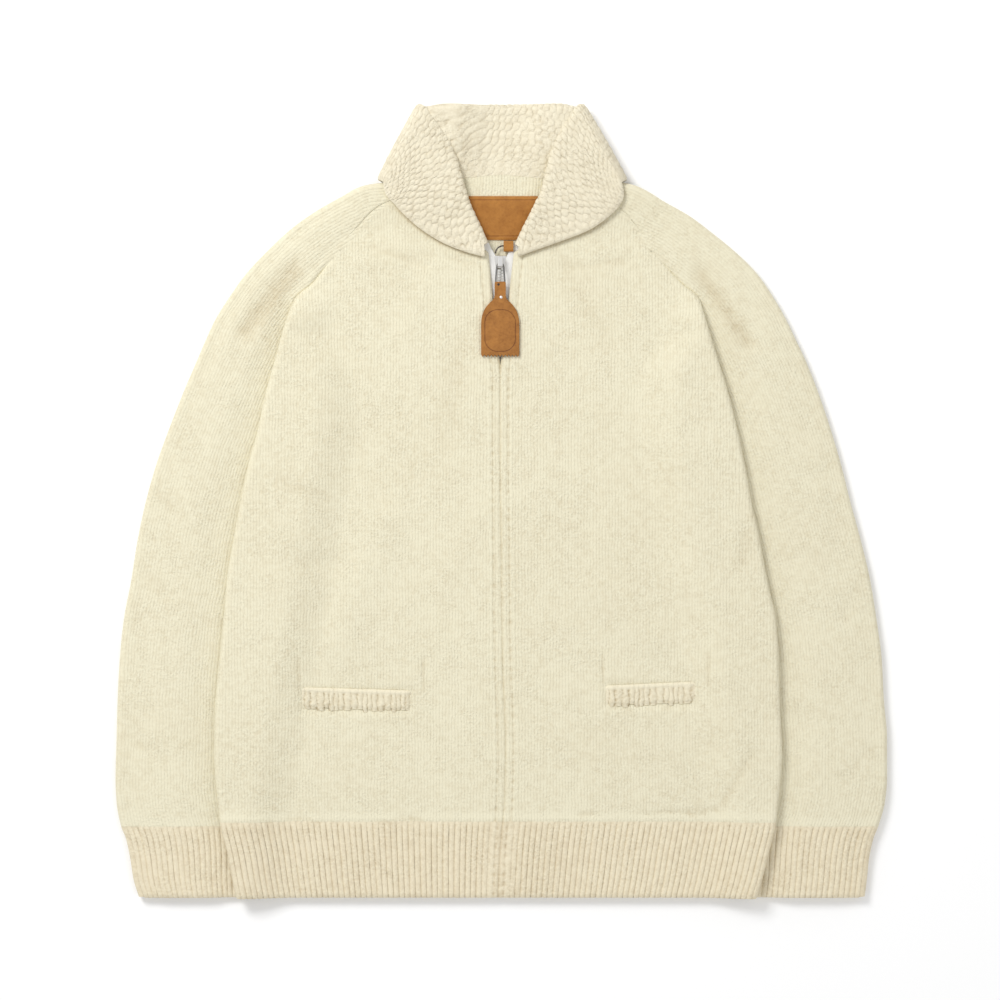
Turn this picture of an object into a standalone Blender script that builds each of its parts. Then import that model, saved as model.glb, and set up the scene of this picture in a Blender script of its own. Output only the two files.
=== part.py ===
"""Cream raglan sweater with a shawl collar and a front zip, lying flat with its sleeves folded behind.

Metres, +Z up from the surface it lies on, +Y toward the collar, +X to the right of the view from above.
The sizes in the tables are millimetres, because a knitter's chart is read in millimetres.
"""
import math

import bmesh
import bpy
import numpy as np

NAME = "cowichan_sweater"
MM = 0.001

# Cloth and how the layers rest on each other, in millimetres
CLOTH = 3.8
COLLAR_CLOTH = 4.4
SEAM = 0.3
LAYER_GAP = 0.3
COLLAR_GAP = 0.9
NECK_AIR = 6.2
BODY_AIR = 7.3
SIDE_FOLD = 7.0
SLEEVE_FOLD = 6.6
SLEEVE_AIR = 8.2
SLEEVE_UNDER = 4.5
SIDE_LIFT = 9.0
CUFF_LIFT = 1.2
SIDE_RAMP = 46.0
NECK_LIFT = 5.6
RIB_RAISE = 1.0
FOLD_LOW = 213.0
FOLD_HIGH = 233.0
UNDERARM = 191.0
HEM_END = -373.0
NECK_TOP = 281.6
BACK_TOP = 290.0
BACK_RISE = 17.0

# Side fold of the body up to the underarm, then the front raglan seam; under is how far the sleeve
# reaches in below the body
EDGE = {
    "y": (-373, -357, -333, -303, -269, -239, -194, -152, -112, -75, -37, 0, 33, 66, 99, 135, 168, 191,
          204, 222, 236, 253, 268, 276, 280, 282),
    "left": (-249, -252.5, -257, -264, -268, -270, -269, -265, -261, -258, -252, -245, -238, -229, -222,
             -212, -203, -194, -180, -165, -151, -135, -121, -108, -94, -83),
    "right": (240, 245, 251, 258, 262, 264, 262, 261, 258, 250, 243, 235, 229, 222, 214, 203, 193, 186,
              172, 155, 141, 127, 114, 103, 93, 83),
}
UNDER = {
    "y": (-373, -306, -284, -263, -225, -188, -150, -112, -75, -37, 0, 31, 63, 98, 127, 146, 160, 191, 300),
    "reach": (6, 21, 28, 34, 42, 47, 50, 53, 57, 57, 57, 56, 52, 45, 30, 12, 0, 0, 0),
}
# Outer fold of each sleeve, one row for each height of its inner edge
SLEEVE = {
    "y": (-373, -357, -338, -319, -306, -284, -263, -225, -188, -150, -112, -75, -37, 0, 32, 63, 98, 127,
          146, 160, 176, 191, 205, 222, 236, 253, 268, 276, 280, 282),
    "left_x": (-342, -347, -350, -354, -359, -363, -364, -363, -362, -360, -356, -349, -343, -335, -326,
               -315, -301, -287, -278, -270, -257, -243, -219, -196, -173, -151, -131, -114, -99, -85),
    "left_y": (-373, -357, -338, -319, -306, -284, -263, -225, -188, -150, -112, -75, -37, 0, 32, 63, 99,
               132, 153, 170, 191, 211, 237, 258, 274, 286, 296, 299, 300, 301),
    "right_x": (343, 345, 347, 351, 356, 362, 364, 364, 361, 359, 354, 348, 339, 329, 321, 312, 300, 287,
                277, 269, 257, 242, 220, 198, 178, 153, 138, 121, 104, 87),
    "right_y": (-373, -357, -338, -319, -306, -284, -263, -225, -188, -150, -112, -75, -37, 0, 32, 63, 99,
                132, 153, 170, 191, 213, 235, 253, 268, 282, 291, 298, 300, 301),
}
# Back raglan above the part that it shares with the front raglan
BACK_RAGLAN = {
    "y": (248, 262, 275, 283, 290),
    "left": (-138, -121, -102, -91.5, -82),
    "right": (131, 116, 99.5, 91, 82),
}
# Front edge of each front: the closed zip, the opening above it, then the front neck curve
CENTRE = {
    "y": (-373, -329, -282, -235, -141, -47, 47, 94, 188, 240),
    "x": (-3, -1, 3, 4, 1, 0, -1, -1, -0.5, 0),
}
FRONT_EDGE = {
    "y": (-373, 118, 146, 188, 233, 243, 258, 273, 282),
    "open": (0.3, 0.3, 4, 8.6, 13.6, 29, 50, 67, 78),
}
# Collar, from the front end round to the centre back: neck seam, visible roll, free edge and the direction
# that the roll faces; row 7 is the fold that takes it from the front of the neck to the back
COLLAR_LEFT = {
    "seam_x": (-17.6, -26, -39, -55, -69, -78.2, -79.4, -82.2, -74, -61, -34, 0),
    "seam_y": (236.6, 242.2, 251.2, 263.4, 276, 284.4, 289, 298.2, 294.8, 299.2, 305.2, 308.2),
    "roll_x": (-12.8, -17, -23, -29, -33, -38, -46, -70.6, -56, -43, -24, 0),
    "roll_y": (244, 254, 267, 280, 293, 311, 336, 370.6, 373.7, 373.7, 373.7, 373.7),
    "edge_x": (-15.4, -29, -53, -76, -92, -102, -107.5, -112, -101, -84, -48, 0),
    "edge_y": (230.8, 234, 243, 257, 270, 280, 287, 303, 303, 299, 295, 293),
    "faces": (46, 37, 29, 25, 20, 16, 26, 60, 90, 90, 90, 90),
}
COLLAR_RIGHT = {
    "seam_x": (17.6, 26, 39, 55, 69, 78.2, 79.4, 82.2, 74, 61, 34, 0),
    "seam_y": (236.6, 242.2, 251.2, 263.4, 276, 284.4, 289, 298.2, 294.8, 299.2, 305.2, 308.2),
    "roll_x": (13, 17.5, 24, 31, 36, 41.5, 48, 71.6, 56, 43, 24, 0),
    "roll_y": (242, 252, 265, 279, 289, 311, 336, 370.6, 373.7, 373.7, 373.7, 373.7),
    "edge_x": (15.4, 32, 55, 83, 98, 108, 113.5, 117.5, 103, 84, 48, 0),
    "edge_y": (231, 237, 245, 256, 266, 275, 284, 302.5, 303, 299, 295, 293),
    "faces": (46, 37, 29, 25, 20, 16, 26, 60, 90, 90, 90, 90),
}
COLLAR_STEPS = {
    "row": (0, 1, 2, 3, 4, 5, 6, 6.5, 7, 7, 7, 7, 7, 7, 8, 9, 10, 11),
    "turn": (0, 0, 0, 0, 0, 0, 0, 0, 0, 36, 72, 108, 144, 180, 180, 180, 180, 180),
}
FOLD_DEPTH = 3.1
FALL_DEPTH = 7.0
SIDE_BULGE = 5.0
OUTWARD = 150.0
# Largest folds of the cloth: a line on the front, its width and its height (minus is a valley)
FOLDS = {
    "from_x": (-109, -190, 93, 214, -206, 198, -140, 150),
    "from_y": (-18, -57, -85, -57, 190, 190, 226, 226),
    "to_x": (-151, -155, 140, 236, -196, 190, -96, 110),
    "to_y": (-132, -60, -131, -110, 120, 110, 236, 238),
    "width": (26, 16, 20, 18, 20, 20, 22, 22),
    "height": (1.6, -1.0, 1.4, -1.0, -0.8, -0.8, 1.0, 0.8),
}

FRONT_ROWS = (281.6, 273, 261, 247, 233, 222, 211, 201, 191, 178, 163, 147, 126, 95, 55, 5, -45, -90,
              -135, -177, -200, -245, -301.85)
SLEEVE_ROWS = (281.6, 273, 261, 247, 233, 222, 211, 201, 191, 180, 169, 158, 146, 131, 112, 88, 50, 0,
               -55, -120, -190, -255, -306.85)
BACK_LOW_ROWS = (178, 163, 147, 126, 95, 50, -5, -70, -140, -210, -265, -301.85)
HEM_ROWS = (-302.15, -337, -373)
CUFF_ROWS = (-307.15, -321, -345, -373)
SQUARE_ROWS = (-301.85, -302.15, -306.85, -307.15, -373)
FOLD_ANGLES = (7, 34, 62, 90)
FOLD_STEP = 1.9
FOLD_ROOM = 0.5
FRONT_STEPS = (0.06, 0.14, 0.23, 0.34, 0.46, 0.58, 0.7, 0.82, 0.92, 1.0)
BACK_RAMP_STEPS = (-3, 5, 14, 23, 32, 46)
BACK_STEPS = 3
HEM_RIBS = 24
CUFF_RIBS = 10
RIB_SHAPE = (0.0, 1.0, 1.0)

# Pockets: welt on the lower edge of the slit, bag behind the front
POCKETS = {
    "side": ("left", "right"),
    "welt_left": (-189, 97.5),
    "welt_right": (-84, 184),
    "welt_top": (-178, -173),
    "bag_left": (-203, 69),
    "bag_right": (-72, 197),
    "bag_bottom": (-296, -293),
}
WELT_HIGH = 21.0
WELT_THICK = 3.0
WELT_RIBS = 9
BAG_THICK = 1.4
BAG_GAP = 0.8
SLIT_HIGH = 2.0

# Zip, label and the small hard pieces
TAPE_WIDE = 10.6
TAPE_THICK = 0.8
TAPE_UP = 4.7
TAPE_TOP = 233.4
CHAIN_WIDE = 6.0
CHAIN_THICK = 2.4
CHAIN_UP = 3.8
SLIDER_X = -1.0
SLIDER_LOW = 219.0
SLIDER_HIGH = 231.0
PLATE_LOW_Z = 4.2
PLATE_HIGH_Z = 7.5
PLATE_THICK = 1.3
# Right half of a slider plate: distance from the middle and from the upper end
PLATE_HALF = {
    "out": (3.6, 5.6, 6.0, 3.0),
    "down": (12, 4, 1.5, 0),
}
POST_WIDE = 3.2
POST_DOWN = (4.5, 1.5)
# Side view of the bridge: distance below the slider's upper end, and height
BRIDGE = {
    "down": (11.4, 1.4, 1.6, 3.6, 9.8, 11.4),
    "z": (7.9, 7.9, 12.4, 14.9, 14.9, 13.2),
}
BRIDGE_WIDE = 3.4
HOLE_WIDE = 8.0
HOLE_DOWN = (3.4, 10.65)
HOLE_Z = (9.6, 14.4)
HINGE_Y = 221.6
HINGE_Z = 13.0
WIRE = 1.7
LOOP_WIDE = 9.0
LOOP_CORNER = 1.8
LOOP_END = 203.2
# Right half of the leather tab from the eye to the shoulder
TAB_HALF = {
    "out": (2.3, 2.3, 5.2, 5.2, 7.4, 12, 16.2, 18),
    "y": (203.2, 201.3, 200.1, 194, 191.6, 190.6, 188.6, 184),
}
TAB_END = 135.0
TAB_TEETH = 12
TOOTH_HIGH = 1.5
TAB_THICK = 2.4
EYE_WIDE = 4.6
EYE_RADIUS = 2.35
EYE_BORE = 1.15
LABEL_WIDE = 88.0
LABEL_TOP = 286.5
LABEL_END = 246.0
LABEL_THICK = 1.3
RING_X = 1.8
RING_Y = 232.9
RING_RADIUS = 7.2
RING_WIRE = 1.4
RING_Z = 8.2
RING_FROM = 48
RING_STEP = 12
RING_POINTS = 12
STRAP_X = 6.8
STRAP_WIDE = 9.2
STRAP_THICK = 1.2
STRAP_TURN = 1.55
STRAP_Y = (244.6, 240.5, 236.6)

WOOL = ((0.823, 0.752, 0.565, 1.0), 0.92, 0.0)
RIB_WOOL = ((0.752, 0.658, 0.458, 1.0), 0.93, 0.0)
LEATHER = ((0.445, 0.205, 0.058, 1.0), 0.55, 0.0)
TAPE_CLOTH = ((0.86, 0.85, 0.82, 1.0), 0.85, 0.0)
NICKEL = ((0.62, 0.61, 0.59, 1.0), 0.3, 1.0)
DARK_METAL = ((0.06, 0.055, 0.05, 1.0), 0.4, 1.0)


def step(low, high, value):
    """Smooth step from 0 at low to 1 at high."""
    t = min(1.0, max(0.0, (value - low) / (high - low)))
    return t * t * (3.0 - 2.0 * t)


def between(a, b, t):
    """Straight blend of two points or numbers."""
    return a + (b - a) * t


def curve(keys, values, at):
    """Smooth curve through a table's rows that does not overshoot them."""
    keys = np.asarray(keys, float)
    values = np.asarray(values, float)
    at = min(max(at, keys[0]), keys[-1])
    i = min(int(np.searchsorted(keys, at, side="right")) - 1, len(keys) - 2)
    slopes = np.diff(values) / np.diff(keys)

    def tangent(k):
        if k == 0:
            return slopes[0]
        if k == len(keys) - 1:
            return slopes[-1]
        a, b = slopes[k - 1], slopes[k]
        return 0.0 if a * b <= 0.0 else 2.0 * a * b / (a + b)

    h = keys[i + 1] - keys[i]
    t = (at - keys[i]) / h
    return ((2 * t ** 3 - 3 * t ** 2 + 1) * values[i] + (t ** 3 - 2 * t ** 2 + t) * h * tangent(i)
            + (3 * t ** 2 - 2 * t ** 3) * values[i + 1] + (t ** 3 - t ** 2) * h * tangent(i + 1))


def body_edge(side, y):
    """X of the body's side fold, or of the front raglan seam above the underarm."""
    return curve(EDGE["y"], EDGE[side], y)


def sign(side):
    """Direction of a side along X."""
    return -1.0 if side == "left" else 1.0


def sleeve_inner(side, y):
    """X of the sleeve's inner fold, which lies below the body."""
    return body_edge(side, y) - sign(side) * curve(UNDER["y"], UNDER["reach"], y)


def neck_lift(x, y):
    """How far the collar's back fold lifts the neck and the shoulders."""
    return NECK_LIFT * step(241, 291, y) * (1.0 - step(120, 185, abs(x)))


def side_lift(x, y):
    """How far the sleeves folded behind lift the sides of the body."""
    side = "left" if x < 0 else "right"
    inner = abs(sleeve_inner(side, min(y, UNDERARM)))
    high = SIDE_LIFT + CUFF_LIFT * (1.0 - step(-306, -284, y))
    return high * (1.0 - step(164, 207, y)) * step(inner - SIDE_RAMP, inner + 1.0, abs(x))


def fold_height(x, y):
    """Height of the soft folds at a point of the front."""
    total = 0.0
    for ax, ay, bx, by, width, height in zip(*FOLDS.values()):
        a = np.array((ax, ay), float)
        along = np.array((bx, by), float) - a
        t = float(np.dot(np.array((x, y)) - a, along) / np.dot(along, along))
        away = np.linalg.norm(np.array((x, y)) - a - along * min(1.0, max(0.0, t)))
        total += height * math.exp(-(away / width) ** 2 * 2.0)
    return total


def edge_air(y):
    """Distance between the front and back layers at a raglan seam or at the side fold."""
    return between(SIDE_FOLD, NECK_AIR, step(236, 262, y))


def air(x, y):
    """Distance between the middle of the back and the middle of the front."""
    side = "left" if x < 0 else "right"
    inside = step(0.0, 42.0, abs(body_edge(side, y)) - abs(x))
    deep = between(BODY_AIR, NECK_AIR, step(244, 272, y))
    return between(edge_air(y), deep, inside) + fold_height(x, y) * inside


def lower(x, y):
    """Height of the middle of the back panel."""
    return CLOTH / 2 + neck_lift(x, y) + side_lift(x, y)


def upper(x, y):
    """Height of the middle of the fronts."""
    return lower(x, y) + air(x, y)


def seam_fold(y):
    """1 where a tube's edges are folded over, 0 where they lie flat in the raglan seam."""
    return 1.0 - step(FOLD_LOW, FOLD_HIGH, y)


def slant(side, y):
    """Length along the seam for each millimetre of height, at most that of a steep raglan."""
    slope = (body_edge(side, y + 2) - body_edge(side, y - 2)) / 4
    return min(1.6, math.hypot(1.0, slope))


def edge_columns(edge, toward, y, flat_z, low_z, high_z, up):
    """Points of the edge of a layer: flat in the seam or rolled round the side fold."""
    radius = (high_z - low_z) / 2
    centre_z = (high_z + low_z) / 2
    folded = seam_fold(y)
    points = []
    for k, angle in enumerate(FOLD_ANGLES):
        a = math.radians(angle)
        flat = np.array((edge + toward * k * FOLD_STEP, flat_z))
        rolled = np.array((edge + toward * (CLOTH / 2 + radius * (1 - math.cos(a))),
                           centre_z + up * radius * math.sin(a)))
        apart = np.array((toward * FOLD_ROOM * math.sin(math.pi * folded), 0.0))
        points.append(between(flat, rolled, folded) + apart)
    return points


def front_edge(side, y):
    """X of a front's zip edge or neck edge."""
    return curve(CENTRE["y"], CENTRE["x"], y) + sign(side) * np.interp(y, FRONT_EDGE["y"],
                                                                     FRONT_EDGE["open"])


def front_row(side, y, steps=FRONT_STEPS):
    """Middle line of a front at one height, from the side edge to the zip edge."""
    s = sign(side)
    slanted = slant(side, y)
    edge = body_edge(side, y) - s * SEAM * slanted
    high = upper(edge, y)
    points = edge_columns(edge, -s * slanted, y, high, lower(edge, y), high, 1.0)
    start = points[-1][0]
    end = front_edge(side, y)
    room = 4 * FOLD_STEP * slanted + 3
    if abs(end - edge) < room:
        squeeze = abs(end - edge) / room
        points = [np.array((between(edge, p[0], squeeze), p[1])) for p in points]
        start = points[-1][0]
    for t in steps:
        x = between(start, end, t)
        points.append(np.array((x, upper(x, y))))
    return [(x, y, z) for x, z in points]


def back_seam(side, y):
    """X of the back's edge."""
    if y > FOLD_HIGH:
        return curve((FOLD_HIGH, *BACK_RAGLAN["y"]), (body_edge(side, FOLD_HIGH), *BACK_RAGLAN[side]), y)
    return body_edge(side, y)


def back_height(front_y):
    """Height on the back raglan that meets a height on the front raglan."""
    if front_y <= FOLD_HIGH:
        return front_y
    return FOLD_HIGH + (BACK_TOP - FOLD_HIGH) * (front_y - FOLD_HIGH) / (NECK_TOP - FOLD_HIGH)


def back_row(y):
    """Middle line of the back at one height, from side to side."""
    rows = {}
    for side in ("left", "right"):
        s = sign(side)
        slanted = slant(side, y)
        edge = back_seam(side, y) - s * SEAM * slanted
        flat = lower(edge, y)
        high = upper(edge, y) if y < FOLD_LOW else flat + edge_air(y)
        half = edge_columns(edge, -s * slanted, y, flat, flat, high, -1.0)
        start = abs(half[-1][0])
        inner = min(abs(sleeve_inner(side, min(y, UNDERARM))), start - 6.0)
        squeeze = min(1.0, inner / 130.0)
        for d in BACK_RAMP_STEPS:
            x = s * (inner - max(d, -3.0) * squeeze)
            half.append(np.array((x, lower(x, y))))
        last = half[-1][0]
        for k in range(1, BACK_STEPS):
            x = between(last, 0.0, k / BACK_STEPS)
            half.append(np.array((x, lower(x, y))))
        rows[side] = half
    points = rows["left"] + [np.array((0.0, lower(0.0, y)))] + rows["right"][::-1]
    rise = BACK_RISE * step(240, BACK_TOP, y)
    wide = abs(points[0][0])
    line = []
    for x, z in points:
        high = y + max(0.0, rise * (1.0 - (x / wide) ** 2))
        line.append((x, high, z + lower(x, high) - lower(x, y)))
    return line


def sleeve_air(side, y, t):
    """Distance between the two layers of a sleeve, t from its inner to its outer fold."""
    inner = between(SLEEVE_UNDER, edge_air(y), step(180, 215, y))
    outer_x = curve(SLEEVE["y"], SLEEVE[side + "_x"], y)
    outer_y = curve(SLEEVE["y"], SLEEVE[side + "_y"], y)
    start = sleeve_inner(side, y)
    wide = math.hypot(outer_x - start, outer_y - y)
    hidden = curve(UNDER["y"], UNDER["reach"], y) / wide
    neck = step(232, 268, y)
    middle = between(SLEEVE_AIR, NECK_AIR, neck)
    outer = between(SLEEVE_FOLD, NECK_AIR, neck)
    value = between(inner, middle, step(hidden + 0.02, hidden + 0.3, t))
    return between(value, outer, step(0.72, 1.0, t))


def sleeve_row(side, y, steps=5, ribs=0):
    """Middle line of a sleeve at one station, round from the front seam to the back seam."""
    s = sign(side)
    apart = s * SEAM * slant(side, y)
    inner = np.array((sleeve_inner(side, y) + apart, y))
    tip = np.array((curve(SLEEVE["y"], SLEEVE[side + "_x"], y), curve(SLEEVE["y"], SLEEVE[side + "_y"], y)))
    back_y = back_height(y)
    back = np.array((back_seam(side, back_y) + apart, back_y)) if y > UNDERARM else inner
    fold = sleeve_air(side, y, 1.0)
    way = (tip - inner) / np.linalg.norm(tip - inner)
    outer = tip - way * (CLOTH / 2 + fold / 2)

    def low_z(p):
        return CLOTH / 2 + neck_lift(p[0], p[1])

    def top(t, p):
        return low_z(p) + sleeve_air(side, y, t)

    def ends(seam, up):
        length = np.linalg.norm(outer - seam)
        direction = (outer - seam) / length
        squeeze = min(1.0, length / (len(FOLD_ANGLES) * FOLD_STEP + 3.0))
        base = low_z(seam)
        high = base + sleeve_air(side, y, 0.0)
        flat_z = high if up > 0 else base
        rolled = edge_columns(0.0, 1.0, y, flat_z, base, high, up)
        return [np.array((*(seam + direction * d * squeeze), z)) for d, z in rolled]

    first = ends(inner, 1.0)
    last = ends(back, -1.0)
    upper_line, lower_line = [], []
    count = ribs * len(RIB_SHAPE) if ribs else steps
    for k in range(1, count):
        t = k / count
        p = between(first[-1][:2], outer, t)
        upper_line.append(np.array((*p, top(t, p))))
    for t in (0.66, 0.33):
        p = between(last[-1][:2], outer, t)
        lower_line.append(np.array((*p, low_z(p))))
    centre_z = low_z(outer) + fold / 2
    around = [np.array((*(outer + way * math.cos(math.radians(a)) * fold / 2),
                        centre_z + math.sin(math.radians(a)) * fold / 2)) for a in (90, 45, 0, -45, -90)]
    return first + upper_line + around + lower_line + last[::-1]


def unit(v):
    """Vectors of length one."""
    return v / np.maximum(np.linalg.norm(v, axis=-1, keepdims=True), 1e-12)


def tangents(grid, axis):
    """Directions along a grid, the mean of both sides at each point."""
    g = np.moveaxis(grid, axis, 0)
    segment = unit(np.diff(g, axis=0))
    t = np.empty_like(g)
    t[1:-1] = unit(segment[:-1] + segment[1:])
    t[0] = 2 * segment[0] - t[1]
    t[-1] = 2 * segment[-1] - t[-2]
    return np.moveaxis(unit(t), 0, axis)


def material(name, finish):
    """Material with a colour, a roughness and a metallic value."""
    colour, rough, metal = finish
    made = bpy.data.materials.new(name)
    made.use_nodes = True
    shader = made.node_tree.nodes["Principled BSDF"]
    shader.inputs["Base Color"].default_value = colour
    shader.inputs["Roughness"].default_value = rough
    shader.inputs["Metallic"].default_value = metal
    made.diffuse_color = colour
    return made


def finish_mesh(name, bm, finish, group, smooth=True):
    """Mesh object in the sweater's collection, with its own material."""
    bmesh.ops.recalc_face_normals(bm, faces=bm.faces)
    mesh = bpy.data.meshes.new(name)
    bm.to_mesh(mesh)
    bm.free()
    thing = bpy.data.objects.new(name, mesh)
    group.objects.link(thing)
    mesh.materials.append(material(name + "_finish", finish))
    for face in mesh.polygons:
        face.use_smooth = smooth
    return thing


def wall(name, rows, thick, finish, group, raised=None, flip=False, seams=False):
    """Closed wall of cloth about a grid of middle points, with ribs raised on its outer points."""
    grid = np.array(rows, float)
    normal = unit(np.cross(tangents(grid, 1), tangents(grid, 0)))
    if flip:
        normal = -normal
    lift = np.zeros(grid.shape[:2]) if raised is None else np.asarray(raised, float)
    for i, row in enumerate(grid):
        for j in ((0, -1) if seams and row[0][1] >= FOLD_HIGH else ()):
            normal[i, j] = (0, 0, np.sign(normal[i, j, 2]))
        if row[0][1] in SQUARE_ROWS:
            normal[i, :, 1] = 0.0
            normal[i] = unit(normal[i])
    outer = grid + normal * (thick / 2 + lift)[..., None]
    inner = grid - normal * thick / 2
    inner[..., 2] = np.maximum(inner[..., 2], 0.0)
    outer[..., 2] = np.maximum(outer[..., 2], 0.0)
    bm = bmesh.new()
    sheets = [[[bm.verts.new(p * MM) for p in row] for row in side] for side in (outer, inner)]
    top, under = sheets
    n, m = grid.shape[:2]
    for i in range(n - 1):
        for j in range(m - 1):
            bm.faces.new((top[i][j], top[i][j + 1], top[i + 1][j + 1], top[i + 1][j]))
            bm.faces.new((under[i][j], under[i + 1][j], under[i + 1][j + 1], under[i][j + 1]))
    for i in range(n - 1):
        for j in (0, m - 1):
            bm.faces.new((top[i][j], top[i + 1][j], under[i + 1][j], under[i][j]))
    for j in range(m - 1):
        for i in (0, n - 1):
            bm.faces.new((top[i][j], top[i][j + 1], under[i][j + 1], under[i][j]))
    return finish_mesh(name, bm, finish, group)


def collar_row(side, u, turned):
    """Middle line of the collar at one station, from the neck seam over the roll to the free edge."""
    table = COLLAR_LEFT if side == "left" else COLLAR_RIGHT
    keys = range(len(table["faces"]))
    seam, roll, edge = (np.array((curve(keys, table[k + "_x"], u), curve(keys, table[k + "_y"], u)))
                        for k in ("seam", "roll", "edge"))
    turn = math.radians(turned)
    s = sign(side)
    near = step(6, 7, u) * (1.0 - step(7, 8, u))
    faces = math.radians(curve(keys, table["faces"], u) + near * max(0.0, turned - 90) / 4)
    bulge = np.array((-s * math.cos(faces), math.sin(faces)))
    a = math.radians(180 - OUTWARD)
    out = np.array((s * math.cos(a), math.sin(a)))
    half = (COLLAR_CLOTH + COLLAR_GAP) / 2
    swing = math.sin(turn)
    inward = near * (1.0 - swing)
    centre = roll - bulge * (half + COLLAR_CLOTH / 2) - out * (FOLD_DEPTH + half) * inward
    seam = seam - out * FOLD_DEPTH * inward
    edge = edge - out * FALL_DEPTH * inward

    def place(p, radius):
        base, height = lower(p[0], p[1]), air(p[0], p[1])
        return base + height / 2 + (height / 2 + radius) * math.cos(turn)

    stand_top = centre - out * half * swing
    fall_top = centre + out * half * swing
    line = []
    for t in (0.0, 0.15, 0.5, 0.85, 1.0):
        p = between(seam, stand_top, t)
        line.append((*p, place(p, 0.0)))
    stand_z, fall_z = place(stand_top, 0.0), place(fall_top, 2 * half)
    for angle in (36, 72, 108, 144):
        a = math.radians(angle)
        share = (1 - math.cos(a)) / 2
        p = between(stand_top, fall_top, share) + bulge * half * math.sin(a)
        line.append((*p, between(stand_z, fall_z, share)))
    for t in (0.0, 0.1, 0.28, 0.5, 0.75, 1.0):
        p = between(fall_top, edge, t) + out * SIDE_BULGE * near * math.sin(math.pi * t)
        line.append((*p, place(p, 2 * half)))
    return line


def surface_height(thing, x, y, high=True):
    """Height in millimetres of a piece's upper or lower face at a point."""
    found = []
    mesh = thing.data
    mesh.calc_loop_triangles()
    p = np.array((x * MM, y * MM))
    for tri in mesh.loop_triangles:
        a, b, c = (np.array(mesh.vertices[i].co) for i in tri.vertices)
        den = (b[1] - c[1]) * (a[0] - c[0]) + (c[0] - b[0]) * (a[1] - c[1])
        if abs(den) < 1e-14:
            continue
        u = ((b[1] - c[1]) * (p[0] - c[0]) + (c[0] - b[0]) * (p[1] - c[1])) / den
        v = ((c[1] - a[1]) * (p[0] - c[0]) + (a[0] - c[0]) * (p[1] - c[1])) / den
        if u >= -1e-6 and v >= -1e-6 and u + v <= 1.000001:
            found.append((u * a[2] + v * b[2] + (1 - u - v) * c[2]) / MM)
    return max(found) if high else min(found)


def laid_on(name, thing, xs, ys, thick, finish, group, shape=None):
    """Piece that lies on another piece's upper face, made from its points and moved out."""
    rows, lifts = [], []
    for y in ys:
        row = [(x, y, surface_height(thing, x, y) + LAYER_GAP + thick / 2) for x in xs]
        rows.append(row)
        lifts.append([0.0 if shape is None else shape[j % len(shape)] for j in range(len(xs))])
    return wall(name, rows, thick, finish, group, lifts)


def ribbed(count, first, total, reach):
    """Rib heights for a row: plain before the first column, then repeated."""
    lifts = [0.0] * total
    for k in range(reach):
        if first + k < total:
            lifts[first + k] = RIB_RAISE * RIB_SHAPE[k % len(RIB_SHAPE)]
    return lifts


def strip(name, line, wide, thick, finish, group):
    """Flat strip along a line of points, across X."""
    rows = [[(x - wide / 2, y, z), (x, y, z), (x + wide / 2, y, z)] for x, y, z in line]
    return wall(name, rows, thick, finish, group, flip=True)


def prism(outline, low, high):
    """Flat plate from an outline, between two heights in millimetres."""
    bm = bmesh.new()
    verts = [bm.verts.new((x * MM, y * MM, low * MM)) for x, y in outline]
    face = bm.faces.new(verts)
    made = bmesh.ops.extrude_face_region(bm, geom=[face])
    moved = [v for v in made["geom"] if isinstance(v, bmesh.types.BMVert)]
    bmesh.ops.translate(bm, verts=moved, vec=(0, 0, (high - low) * MM))
    return bm


def wire(name, points, radius, finish, group, closed):
    """Round wire along a line of points, made a mesh."""
    data = bpy.data.curves.new(name, "CURVE")
    data.dimensions = "3D"
    data.bevel_depth = radius * MM
    data.bevel_resolution = 2
    data.use_fill_caps = True
    spline = data.splines.new("POLY")
    spline.points.add(len(points) - 1)
    for point, place in zip(spline.points, points):
        point.co = (place[0] * MM, place[1] * MM, place[2] * MM, 1.0)
    spline.use_cyclic_u = closed
    holder = bpy.data.objects.new(name + "_line", data)
    mesh = bpy.data.meshes.new_from_object(holder)
    bpy.data.objects.remove(holder)
    bm = bmesh.new()
    bm.from_mesh(mesh)
    bpy.data.meshes.remove(mesh)
    bmesh.ops.remove_doubles(bm, verts=bm.verts, dist=0.00001)
    return finish_mesh(name, bm, finish, group)


def rounded(x0, x1, y0, y1, corner, steps=4):
    """Outline of a rectangle with round corners."""
    points = []
    for cx, cy, start in ((x1 - corner, y1 - corner, 0), (x0 + corner, y1 - corner, 90),
                          (x0 + corner, y0 + corner, 180), (x1 - corner, y0 + corner, 270)):
        for k in range(steps + 1):
            a = math.radians(start + 90 * k / steps)
            points.append((cx + corner * math.cos(a), cy + corner * math.sin(a)))
    return points


def cut(thing, cutter):
    """Takes a cutter out of a piece."""
    tool = thing.modifiers.new("cut", "BOOLEAN")
    tool.operation = "DIFFERENCE"
    tool.solver = "EXACT"
    tool.object = cutter


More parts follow.
